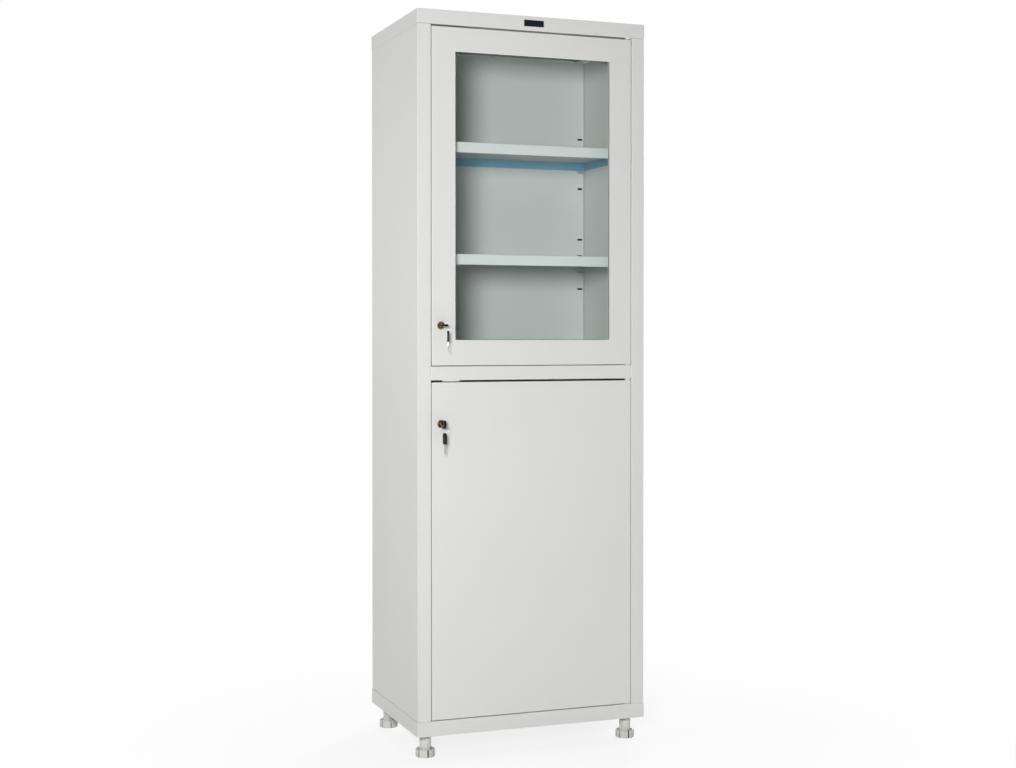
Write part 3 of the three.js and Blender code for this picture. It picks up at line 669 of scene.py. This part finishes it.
class CABINET_OT_side_panels(bpy.types.Operator):
    """Folds each side from one sheet, with its boxed stile, slotted lip and rear lip"""

    bl_idname = "cabinet.side_panels"
    bl_label = "Side Panels"

    def execute(self, context):
        sizes = context.scene.cabinet_sizes
        for side, inward in (("left", RIGHT), ("right", LEFT)):
            low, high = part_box(f"{side}_side_panel")
            outer = (low.x if side == "left" else high.x) + inward.x * sizes.ledge
            inner = outer + inward.x * sizes.stile_width
            panel = start_block(
                f"{side}_side_fold",
                (min(outer, inner), low.y, low.z),
                (max(outer, inner), high.y, high.z),
            )
            for way in (UP, DOWN, inward):
                open_side(panel, way)
            spare = sizes.stile_width - sizes.rear_lip
            pick_edges(panel, on_line(inner, high.y))
            bpy.ops.transform.translate(value=inward * -spare)
            pick_edges(panel, on_line(inner, low.y))
            draw_out(REAR * sizes.stile_depth)
            draw_out(inward * -sizes.stile_lip)
            object_mode()
            round_folds(panel, sizes.fold_radius)
            thicken(panel, sizes.sheet)
            lip = low.y + sizes.stile_depth
            middle = clip_middle("front", side)
            cut_away(panel, *slot_cutters(middle, lip, slot_levels(sizes), sizes))
            smooth_and_seat(panel, "carcass", *PAINTED, f"{side}_side_panel")
        return {"FINISHED"}


def on_line(x, y):
    """Picks the upright edges at that place"""
    return lambda a, b: all(abs(p.x - x) < TOUCH and abs(p.y - y) < TOUCH for p in (a, b))


def clip_middle(end, side):
    """How far across the shelf clips stand at that corner"""
    low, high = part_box(f"upper_shelf_{end}_{side}_clip")
    return (low.x + high.x) / 2


class CABINET_OT_back_panel(bpy.types.Operator):
    """Folds the back tray, cuts its clip slots and covers them at the rear, with painted shade inside
    the covers
    """

    bl_idname = "cabinet.back_panel"
    bl_label = "Back Panel"

    def execute(self, context):
        sizes = context.scene.cabinet_sizes
        low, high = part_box("back_panel")
        inset = RIGHT * (sizes.ledge + sizes.back_gap)
        back = start_block("back_fold", low + inset, high - inset)
        for way in (UP, DOWN, REAR):
            open_side(back, way)
        round_folds(back, sizes.fold_radius)
        thicken(back, sizes.sheet)
        levels = slot_levels(sizes)
        slots = []
        for side in SIDES:
            slots += slot_cutters(clip_middle("rear", side), low.y, levels, sizes)
        cut_away(back, *slots)
        smooth_and_seat(back, "carcass", *PAINTED, "back_panel")

        face = low.y + sizes.sheet
        bottom, top = min(levels) - sizes.slot_width, max(levels) + sizes.slot_width
        for side in SIDES:
            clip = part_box(f"upper_shelf_rear_{side}_clip")
            corner = Vector((clip[0].x - sizes.cover_rim, face, bottom))
            opposite = Vector((clip[1].x + sizes.cover_rim, face + sizes.cover_depth, top))
            cover = folded_pan(f"{side}_slot_cover", corner, opposite, FRONT, 0, sizes)
            # The covers' inner faces are painted black as painted shade, so the slots in the back read
            # dark
            paint_light_inside(cover, corner, opposite, "strip_rubber")
            smooth_and_seat(cover, "carcass", *PAINTED)
        return {"FINISHED"}


class CABINET_OT_divider(bpy.types.Operator):
    """Folds the divider's front rail and pan, and sets the door's stop tab under the rail"""

    bl_idname = "cabinet.divider"
    bl_label = "Divider"

    def execute(self, context):
        sizes = context.scene.cabinet_sizes
        low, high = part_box("middle_divider")
        door_low, door_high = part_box("lower_door_panel")
        bottom = door_high.z + sizes.divider_gap
        stile_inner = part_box("upper_door_frame")[1].x + sizes.stile_gap
        lip = low.y + sizes.stile_depth + FIT_GAP
        rail = folded_pan(
            "divider_fold", (-stile_inner, low.y, bottom), (stile_inner, lip + sizes.sheet, high.z),
            REAR, 0, sizes,
        )
        pan = folded_pan(
            "divider_pan", (low.x, lip, bottom), (high.x, high.y, high.z),
            DOWN, sizes.pan_return, sizes,
        )
        tab_left = door_low.x + sizes.tab_inset
        tab = start_block(
            "stop_tab",
            (tab_left, low.y + sizes.sheet, low.z),
            (tab_left + sizes.tab_length, low.y + sizes.tab_depth, bottom + sizes.sheet / 2),
        )
        soften(tab, EDGE)
        divider = join(rail, pan, tab)
        smooth_and_seat(divider, "carcass", *PAINTED, "middle_divider")
        return {"FINISHED"}


class CABINET_OT_badge(bpy.types.Operator):
    """Makes the bare badge plate with its pale rim"""

    bl_idname = "cabinet.badge"
    bl_label = "Badge Plate"

    def execute(self, context):
        sizes = context.scene.cabinet_sizes
        badge = start_copy("badge_bare_plate", "badge_plate")
        badge.data.materials.append(material("badge_rim"))
        badge.data.materials.append(material("badge_face"))
        pick_faces(badge, facing(FRONT))
        bpy.ops.mesh.inset(thickness=sizes.badge_rim, use_even_offset=True)
        badge.active_material_index = 1
        bpy.ops.object.material_slot_assign()
        draw_out(REAR * sizes.badge_sink)
        object_mode()
        soften(badge, FINE_EDGE / 2)
        smooth_and_seat(badge, "carcass", "badge_face", "badge_plate", "badge_plate")
        return {"FINISHED"}


class CABINET_OT_doors(bpy.types.Operator):
    """Folds both door pans, cuts the window in the upper one and lowers their edges a little"""

    bl_idname = "cabinet.doors"
    bl_label = "Doors"

    def execute(self, context):
        sizes = context.scene.cabinet_sizes
        for door, node in (("upper", "upper_door_frame"), ("lower", "lower_door_panel")):
            pan = start_block(f"{door}_door_fold", *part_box(node))
            open_side(pan, REAR, sizes.door_return)
            if door == "upper":
                open_side(pan, FRONT, sizes.window_frame)
            round_folds(pan, sizes.fold_radius)
            thicken(pan, sizes.sheet)
            low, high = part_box(node)
            sill = low.z + 2 * sizes.fold_radius
            pick_edges(pan, lambda a, b: max(a.z, b.z) < sill)
            bpy.ops.transform.translate(value=DOWN * sizes.door_drop)
            lintel = high.z - 2 * sizes.fold_radius
            pick_edges(pan, lambda a, b: min(a.z, b.z) > lintel)
            bpy.ops.transform.translate(value=DOWN * sizes.door_drop / 2)
            object_mode()
            smooth_and_seat(pan, f"{door}_door", *PAINTED, node)
        return {"FINISHED"}


class CABINET_OT_glazing(bpy.types.Operator):
    """Finishes the glass, its gasket and the retainer that holds it"""

    bl_idname = "cabinet.glazing"
    bl_label = "Glazing"

    def execute(self, context):
        sizes = context.scene.cabinet_sizes
        coat("window_glass", "clear_glass")
        gasket = start_copy("gasket_strip", "window_gasket")
        soften(gasket, ROUND_EDGE)
        smooth_and_seat(gasket, "upper_door", "strip_rubber", "gasket_rubber", "window_gasket")
        retainer = start_copy("retainer_strip", "glass_retainer")
        soften(retainer, FINE_EDGE)
        smooth_and_seat(retainer, "upper_door", *PAINTED, "glass_retainer")

        low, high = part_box("glass_retainer")
        inset = sizes.screw_inset
        screw = pan_screw("retainer_screw", RETAINER_SCREW_RADIUS)
        middle = (low + high) / 2
        columns = (low.x + inset, middle.x, high.x - inset)
        rows = (low.z + inset, middle.z, high.z - inset)
        spots = [(x, z) for x in columns for z in rows if (x, z) != (middle.x, middle.z)]
        for number, (x, z) in enumerate(spots):
            spot = Matrix.Translation((x, high.y, z))
            held = copy_of(screw, f"retainer_screw_{number + 1}", spot)
            seat(held, "upper_door", *PLATED)
        bpy.data.objects.remove(screw)
        return {"FINISHED"}


class CABINET_OT_pivots(bpy.types.Operator):
    """Finishes the pivot pins and their washers"""

    bl_idname = "cabinet.pivots"
    bl_label = "Pivots"

    def execute(self, context):
        sizes = context.scene.cabinet_sizes
        for pin in ("top", "middle", "bottom"):
            coat(f"{pin}_pivot_pin", "zinc_plate")
        for door in DOORS:
            for end in ("top", "bottom"):
                node = f"{door}_door_{end}_washer"
                washer = start_copy(f"{node}_ring", node)
                if end == "bottom":
                    pick_faces(washer, facing(UP))
                    bpy.ops.transform.translate(value=DOWN * sizes.door_drop)
                    object_mode()
                soften(washer, FINE_EDGE)
                smooth_and_seat(washer, "carcass", "washer_nylon", "white_nylon", node)
        return {"FINISHED"}


class CABINET_OT_shelves(bpy.types.Operator):
    """Folds the shelves, gives the upper one's flanges a painted blue reflection and finishes their
    clips
    """

    bl_idname = "cabinet.shelves"
    bl_label = "Shelves"

    def execute(self, context):
        sizes = context.scene.cabinet_sizes
        for shelf in SHELVES:
            pan = folded_pan(f"{shelf}_fold", *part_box(shelf), DOWN, 0, sizes)
            if shelf == "upper_shelf":
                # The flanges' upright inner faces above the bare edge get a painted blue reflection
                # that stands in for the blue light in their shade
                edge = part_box(shelf)[0].z + sizes.reflection_edge
                slice_across(pan, (0, 0, edge), UP)
                paint_light_inside(
                    pan, *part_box(shelf), "shelf_film",
                    lambda face: abs(face.normal.z) < 0.5 and face.center.z > edge,
                )
            smooth_and_seat(pan, "carcass", *PAINTED, shelf)
            for end in ("front", "rear"):
                for side in SIDES:
                    node = f"{shelf}_{end}_{side}_clip"
                    clip = start_copy(f"{node}_bent", node)
                    soften(clip, EDGE)
                    smooth_and_seat(clip, "carcass", *PLATED, node)
        return {"FINISHED"}


class CABINET_OT_feet(bpy.types.Operator):
    """Cuts the grip notches of the levelling feet and softens their edges"""

    bl_idname = "cabinet.feet"
    bl_label = "Feet"

    def execute(self, context):
        sizes = context.scene.cabinet_sizes
        for foot in FEET:
            coat(f"{foot}_foot_stud", "zinc_plate")
            sleeve = start_copy(f"{foot}_sleeve_ribbed", f"{foot}_foot_sleeve")
            soften(sleeve, FINE_EDGE, 1)
            smooth_and_seat(sleeve, "carcass", "moulded_foot", "foot_plastic", f"{foot}_foot_sleeve")
            base = start_copy(f"{foot}_base_notched", f"{foot}_foot_base")
            cut_away(base, *notch_cutters(*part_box(f"{foot}_foot_base"), sizes))
            soften(base, EDGE)
            smooth_and_seat(base, f"{foot}_foot", "moulded_foot", "foot_plastic", f"{foot}_foot_base")
        return {"FINISHED"}


def notch_cutters(low, high, sizes):
    """Blocks round a foot, which deepen the grip notches of its rim"""
    middle = (low + high) / 2
    spot = Matrix.Translation((middle.x, middle.y, 0))
    radius, half = (high.x - low.x) / 2, sizes.notch_width / 2
    cutters = []
    for number in range(NOTCHES):
        block = start_block(
            "notch", (radius - sizes.notch_depth, -half, low.z + half),
            (radius + half, half, high.z + half),
        )
        turn = math.tau * (number + 0.5) / NOTCHES
        place(block, spot @ Matrix.Rotation(turn, 4, "Z"))
        cutters.append(block)
    return cutters


class CABINET_OT_stage(bpy.types.Operator):
    """Sets the floor, lights, background and camera"""

    bl_idname = "cabinet.stage"
    bl_label = "Stage"

    def execute(self, context):
        scene = context.scene
        stage = scene.cabinet_stage
        scene.view_settings.view_transform = "Standard"
        set_floor(scene.cabinet_finishes.floor)
        set_background(stage.sky)
        for light, (place_at, aim_at, size) in LIGHTS.items():
            set_light(f"{light}_light", place_at, aim_at, size, getattr(stage, f"{light}_power"))

        camera = bpy.data.cameras.new("photo_camera")
        camera.sensor_width = SENSOR_WIDTH
        camera.lens = stage.focal_pixels * SENSOR_WIDTH / IMAGE_WIDTH
        camera.shift_y = stage.shift_pixels / IMAGE_WIDTH
        holder = bpy.data.objects.new("photo_camera", camera)
        scene.collection.objects.link(holder)
        holder.location = stage.camera_place
        holder.rotation_euler = (math.pi / 2 + stage.camera_pitch, 0, -stage.camera_yaw)
        scene.camera = holder
        return {"FINISHED"}


def set_light(name, place_at, aim_at, size, power):
    """A round soft light that the camera doesn't see"""
    light = bpy.data.lights.new(name, "AREA")
    light.shape = "DISK"
    light.size = size
    light.energy = power
    holder = bpy.data.objects.new(name, light)
    holder.visible_camera = False
    bpy.context.scene.collection.objects.link(holder)
    holder.location = place_at
    way = Vector(aim_at) - Vector(place_at)
    holder.rotation_euler = way.to_track_quat("-Z", "Y").to_euler()


def seen_rays(tree):
    """1 for the rays that show the background: straight, mirrored or through glass"""
    path = tree.nodes.new("ShaderNodeLightPath")
    total = path.outputs["Is Camera Ray"]
    for name in ("Is Glossy Ray", "Is Transmission Ray"):
        sum_node = tree.nodes.new("ShaderNodeMath")
        sum_node.operation = "MAXIMUM"
        tree.links.new(total, sum_node.inputs[0])
        tree.links.new(path.outputs[name], sum_node.inputs[1])
        total = sum_node.outputs[0]
    return total


def set_background(sky):
    """White where it is seen, and an even room light elsewhere"""
    world = bpy.data.worlds.new("studio")
    bpy.context.scene.world = world
    world.use_nodes = True
    tree = world.node_tree
    background = tree.nodes["Background"]
    strength = tree.nodes.new("ShaderNodeMapRange")
    strength.inputs["To Min"].default_value = sky
    strength.inputs["To Max"].default_value = 1.0
    tree.links.new(seen_rays(tree), strength.inputs["Value"])
    tree.links.new(strength.outputs["Result"], background.inputs["Strength"])
    background.inputs["Color"].default_value = (1, 1, 1, 1)


def set_floor(tint):
    """A pale round floor that keeps the shadow and fades into the white background"""
    deselect_all()
    bpy.ops.mesh.primitive_circle_add(vertices=96, radius=FLOOR_RADIUS, fill_type="NGON")
    floor = started("studio_floor")
    finish = Finish("studio_floor")
    finish.set(Roughness=0.9, Specular_IOR_Level=0.1)
    finish.mottle(finish.noise(1.5), tint, 0.004)
    coords = finish.node("ShaderNodeTexCoord")
    distance = finish.node("ShaderNodeVectorMath")
    distance.operation = "LENGTH"
    fade = finish.node("ShaderNodeMapRange", From_Min=FADE_START, From_Max=FADE_END)
    fade.inputs["To Min"].default_value = FADE_LEAST
    shown = finish.node("ShaderNodeMath")
    shown.operation = "MULTIPLY"
    white = finish.node("ShaderNodeEmission", Color=(1, 1, 1, 1), Strength=1.0)
    mix = finish.node("ShaderNodeMixShader")
    finish.link(coords.outputs["Object"], distance.inputs[0])
    finish.link(distance.outputs["Value"], fade.inputs["Value"])
    finish.link(fade.outputs["Result"], shown.inputs[0])
    finish.link(seen_rays(finish.tree), shown.inputs[1])
    finish.link(shown.outputs[0], mix.inputs[0])
    finish.link(finish.shader.outputs["BSDF"], mix.inputs[1])
    finish.link(white.outputs["Emission"], mix.inputs[2])
    finish.link(mix.outputs["Shader"], finish.tree.nodes["Material Output"].inputs["Surface"])
    floor.data.materials.append(finish.material)


# Locks and keys

# Each lock is modelled about its own axis along Y, with y = 0 at the door's front face,
# and then put in its door.

def lock_place(door):
    """Where a lock's axis meets its door's front face"""
    low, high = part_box(f"{door}_lock_barrel")
    node = "upper_door_frame" if door == "upper" else "lower_door_panel"
    return Matrix.Translation(((low.x + high.x) / 2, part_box(node)[0].y, (low.z + high.z) / 2))


def key_turn(door):
    """A key lies flat in the upper lock and stands upright in the lower one"""
    return Matrix.Rotation(0 if door == "upper" else math.pi / 2, 4, "Y")


def turned_barrel(name, sizes):
    """A bezel whose recess for the plug is painted black as painted shade, and the barrel behind it"""
    face = -FIT_GAP - sizes.bezel_height
    bezel = start_rod(name, (0, face, 0), (0, -FIT_GAP, 0), sizes.bezel_radius, 64)
    pick_faces(bezel, facing(FRONT))
    bpy.ops.mesh.inset(thickness=sizes.bezel_radius - sizes.recess_radius)
    draw_out(REAR * sizes.recess_depth)
    object_mode()
    soften(bezel, ROUND_EDGE, 3)
    bezel.data.materials.append(material("turned_brass"))
    # The recess gets the black plastic as painted shade
    bezel.data.materials.append(material("key_bow_plastic"))
    inside, behind = sizes.recess_radius + TOUCH, face + sizes.recess_depth / 3
    pick_faces(
        bezel, lambda part: part.center.xz.length < inside and part.center.y > behind
    )
    bezel.active_material_index = 1
    bpy.ops.object.material_slot_assign()
    object_mode()
    body = start_rod(
        "barrel", (0, -ROUND_EDGE, 0), (0, sizes.barrel_length, 0), sizes.barrel_radius, 64
    )
    body.data.materials.append(material("turned_brass"))
    soften(body, 2 * FINE_EDGE)
    return join(bezel, body)


def turned_plug(name, sizes):
    """The plug with its keyway and the square tail that carries the cam"""
    plug = start_rod(name, (0, -PLUG_STEP, 0), (0, sizes.barrel_length, 0), sizes.plug_radius, 64)
    pick_faces(plug, facing(FRONT))
    bpy.ops.mesh.inset(thickness=sizes.plug_radius - sizes.plug_neck)
    draw_out(FRONT * (sizes.bezel_height - PLUG_STEP))
    object_mode()
    soften(plug, FINE_EDGE)
    across, tall = sizes.keyway_width / 2, sizes.keyway_height / 2
    keyway = start_block(
        "keyway", (-across, -OVERCUT, -tall), (across, sizes.keyway_depth, tall)
    )
    cut_away(plug, keyway)
    half = sizes.tail_width / 2
    tail = start_block("tail", (-half, TAIL_START, -half), (half, TAIL_END, half))
    soften(tail, EDGE)
    return join(plug, tail)


def pan_screw(name, radius):
    """A pan-head screw with a cross recess, its head towards +Y from y = 0"""
    screw = start_rod(name, (0, 0, 0), (0, 0.6 * radius, 0), radius, 32)
    soften(screw, 0.3 * radius, 3)
    half, long, deep = 0.14 * radius, 0.62 * radius, 0.28 * radius
    across = start_block("recess", (-long, deep, -half), (long, radius, half))
    upright = start_block("recess", (-half, deep, -long), (half, radius, long))
    cut_away(screw, across)
    cut_away(screw, upright)
    smooth(screw)
    return screw


class CABINET_OT_locks(bpy.types.Operator):
    """Turns the lock barrels and plugs, and finishes the nuts, cams and cam screws"""

    bl_idname = "cabinet.locks"
    bl_label = "Locks"

    def execute(self, context):
        sizes = context.scene.cabinet_sizes
        screw = pan_screw("cam_screw", CAM_SCREW_RADIUS)
        tail_end = Matrix.Translation((0, TAIL_END, 0))
        for door in DOORS:
            for part, body in (("nut", "door"), ("cam", "lock")):
                node = f"{door}_lock_{part}"
                piece = start_copy(f"{node}_edged", node)
                soften(piece, FINE_EDGE)
                smooth_and_seat(piece, f"{door}_{body}", *PLATED, node)
            barrel = turned_barrel(f"{door}_lock_bezel", sizes)
            place(barrel, lock_place(door))
            smooth_and_seat(barrel, f"{door}_door", "turned_brass", "lock_brass", f"{door}_lock_barrel")
            plug = turned_plug(f"{door}_lock_keyway", sizes)
            place(plug, lock_place(door) @ key_turn(door))
            smooth_and_seat(plug, f"{door}_lock", "turned_brass", "lock_brass", f"{door}_lock_plug")
            held = copy_of(screw, f"{door}_cam_screw", lock_place(door) @ tail_end)
            seat(held, f"{door}_lock", *PLATED)
        bpy.data.objects.remove(screw)
        return {"FINISHED"}


def moulded_bow(name, sizes):
    """A flat bow with a round end, thumb recesses and a hole for the ring"""
    half, thick = sizes.bow_width / 2, sizes.bow_thickness / 2
    start, end = -sizes.key_standoff, -sizes.key_standoff - sizes.bow_length
    bow = start_block(name, (-half, end, -thick), (half, start, thick))
    pick_edges(bow, lambda a, b: upright_at(a, b, end))
    bpy.ops.mesh.bevel(
        offset=half - BOW_FLAT, segments=10, affect="EDGES", clamp_overlap=False
    )
    object_mode()
    pick_edges(bow, lambda a, b: upright_at(a, b, start))
    bpy.ops.mesh.bevel(offset=sizes.bow_shoulder, segments=4, affect="EDGES")
    object_mode()
    pick_faces(bow, lambda face: abs(face.normal.z) > 0.99)
    bpy.ops.mesh.inset(thickness=sizes.thumb_rim, depth=-sizes.thumb_depth, use_individual=True)
    object_mode()
    hole_y = end + sizes.key_hole_edge
    ring_hole = start_rod(
        "ring_hole", (0, hole_y, -OVERCUT), (0, hole_y, OVERCUT), sizes.key_hole, 32
    )
    cut_away(bow, ring_hole)
    soften(bow, EDGE)
    return bow


def upright_at(a, b, y):
    """Tells the edges that stand through a key's thickness at that place along it"""
    return abs(a.y - y) < TOUCH and abs(b.y - y) < TOUCH and abs(a.x - b.x) < TOUCH


def cut_blade(name, sizes):
    """A brass blade with a collar, a milled groove and cut teeth"""
    half, thick = sizes.blade_width / 2, sizes.blade_thickness / 2
    start = -sizes.key_standoff - sizes.sheet
    end = sizes.blade_length - sizes.key_standoff
    blade = start_block(name, (-half, start, -thick), (half, end, thick))
    teeth = [end - sizes.tooth_pitch * (step + 1) for step in range(len(TOOTH_DEPTHS))]
    for y in teeth:
        slice_across(blade, (0, y, 0), REAR)
    for y, depth in zip(teeth, TOOTH_DEPTHS):
        pick_edges(blade, lambda a, b: upright_at(a, b, y) and a.x > half - TOUCH)
        bpy.ops.transform.translate(value=LEFT * depth)
        object_mode()
    pick_edges(blade, lambda a, b: upright_at(a, b, end))
    bpy.ops.mesh.bevel(offset=sizes.blade_tip, segments=2, affect="EDGES")
    object_mode()
    groove = start_block(
        "groove", (-GROOVE_FAR, start + GROOVE_START, thick - GROOVE_DEPTH),
        (-GROOVE_NEAR, end + OVERCUT, OVERCUT),
    )
    cut_away(blade, groove)
    collar_half, collar_thick = 1.5 * half, 1.9 * thick
    collar = start_block(
        "collar", (-collar_half, start, -collar_thick),
        (collar_half, start + sizes.collar_length, collar_thick),
    )
    soften(collar, EDGE)
    return join(blade, collar)


def wire_ring(name, sizes):
    """A split ring of two turns of wire, lying across Y"""
    wire = sizes.ring_wire / 2
    turns = []
    for side in (-1, 1):
        deselect_all()
        bpy.ops.mesh.primitive_torus_add(
            major_radius=sizes.ring_radius, minor_radius=0.96 * wire, major_segments=72,
            minor_segments=10, location=(0, side * wire, 0), rotation=(math.pi / 2, 0, 0),
        )
        turns.append(started(name))
    half, radius = sizes.wire_end / 2, sizes.ring_radius
    end = start_block(
        "wire_end", (-half, -2 * wire, radius - wire), (half, 2 * wire, radius + wire)
    )
    soften(end, 0.3 * wire)
    return join(*turns, end)


class CABINET_OT_keys(bpy.types.Operator):
    """Makes the keys with their moulded bows and cut blades, and the key rings"""

    bl_idname = "cabinet.keys"
    bl_label = "Keys"

    def execute(self, context):
        sizes = context.scene.cabinet_sizes
        bow = moulded_bow("bow", sizes)
        smooth(bow)
        blade = cut_blade("blade", sizes)
        smooth(blade)
        ring = wire_ring("ring", sizes)
        smooth(ring)
        hole = -sizes.key_standoff - sizes.bow_length + sizes.key_hole_edge
        to_hole = Matrix.Translation((0, -hole, 0))
        quarter = -math.pi / 2
        hanging = Matrix.Rotation(quarter, 4, "Z") @ Matrix.Rotation(quarter, 4, "X") @ to_hole
        for door in DOORS:
            ring_low, ring_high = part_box(f"{door}_key_ring")
            ring_turn = Matrix.Rotation(sizes.ring_turn if door == "upper" else 0, 4, "Z")
            ring_place = Matrix.Translation((ring_low + ring_high) / 2) @ ring_turn
            hook = Matrix.Translation((0, 0, -sizes.ring_radius - sizes.key_hook))
            places = {
                f"{door}_key": lock_place(door) @ key_turn(door),
                f"{door}_spare_key": ring_place @ hook @ hanging,
            }
            for node, matrix in places.items():
                grip = copy_of(bow, f"{node}_bow", matrix)
                seat(grip, node, "key_bow_plastic", "key_plastic", node)
                shank = copy_of(blade, f"{node}_blade", matrix)
                seat(shank, node, "key_brass", "lock_brass")
            wire = copy_of(ring, f"{door}_split_ring", ring_place)
            seat(wire, f"{door}_key_ring", *PLATED, f"{door}_key_ring")
        for model in (bow, blade, ring):
            bpy.data.objects.remove(model)
        return {"FINISHED"}


OPERATORS = (
    CABINET_OT_stage,
    CABINET_OT_roof_and_base,
    CABINET_OT_side_panels,
    CABINET_OT_back_panel,
    CABINET_OT_divider,
    CABINET_OT_badge,
    CABINET_OT_doors,
    CABINET_OT_glazing,
    CABINET_OT_pivots,
    CABINET_OT_locks,
    CABINET_OT_keys,
    CABINET_OT_shelves,
    CABINET_OT_feet,
)


class CABINET_PT_panel(bpy.types.Panel):
    """Lists the steps that dress the cabinet"""

    bl_idname = "CABINET_PT_panel"
    bl_label = "Cabinet"
    bl_space_type = "VIEW_3D"
    bl_region_type = "UI"
    bl_category = "Cabinet"

    def draw(self, context):
        for operator in OPERATORS:
            self.layout.operator(operator.bl_idname)


SETTINGS = {
    "cabinet_sizes": CabinetSizes,
    "cabinet_finishes": CabinetFinishes,
    "cabinet_stage": CabinetStage,
}
CLASSES = (*SETTINGS.values(), *OPERATORS, CABINET_PT_panel)


def register():
    for cls in CLASSES:
        bpy.utils.register_class(cls)
    for name, group in SETTINGS.items():
        setattr(bpy.types.Scene, name, bpy.props.PointerProperty(type=group))


def unregister():
    for name in SETTINGS:
        delattr(bpy.types.Scene, name)
    for cls in reversed(CLASSES):
        bpy.utils.unregister_class(cls)


def main():
    register()
    bpy.ops.cabinet.stage()
    bpy.ops.cabinet.roof_and_base()
    bpy.ops.cabinet.side_panels()
    bpy.ops.cabinet.back_panel()
    bpy.ops.cabinet.divider()
    bpy.ops.cabinet.badge()
    bpy.ops.cabinet.doors()
    bpy.ops.cabinet.glazing()
    bpy.ops.cabinet.pivots()
    bpy.ops.cabinet.locks()
    bpy.ops.cabinet.keys()
    bpy.ops.cabinet.shelves()
    bpy.ops.cabinet.feet()
    deselect_all()


if __name__ == "__main__":
    main()
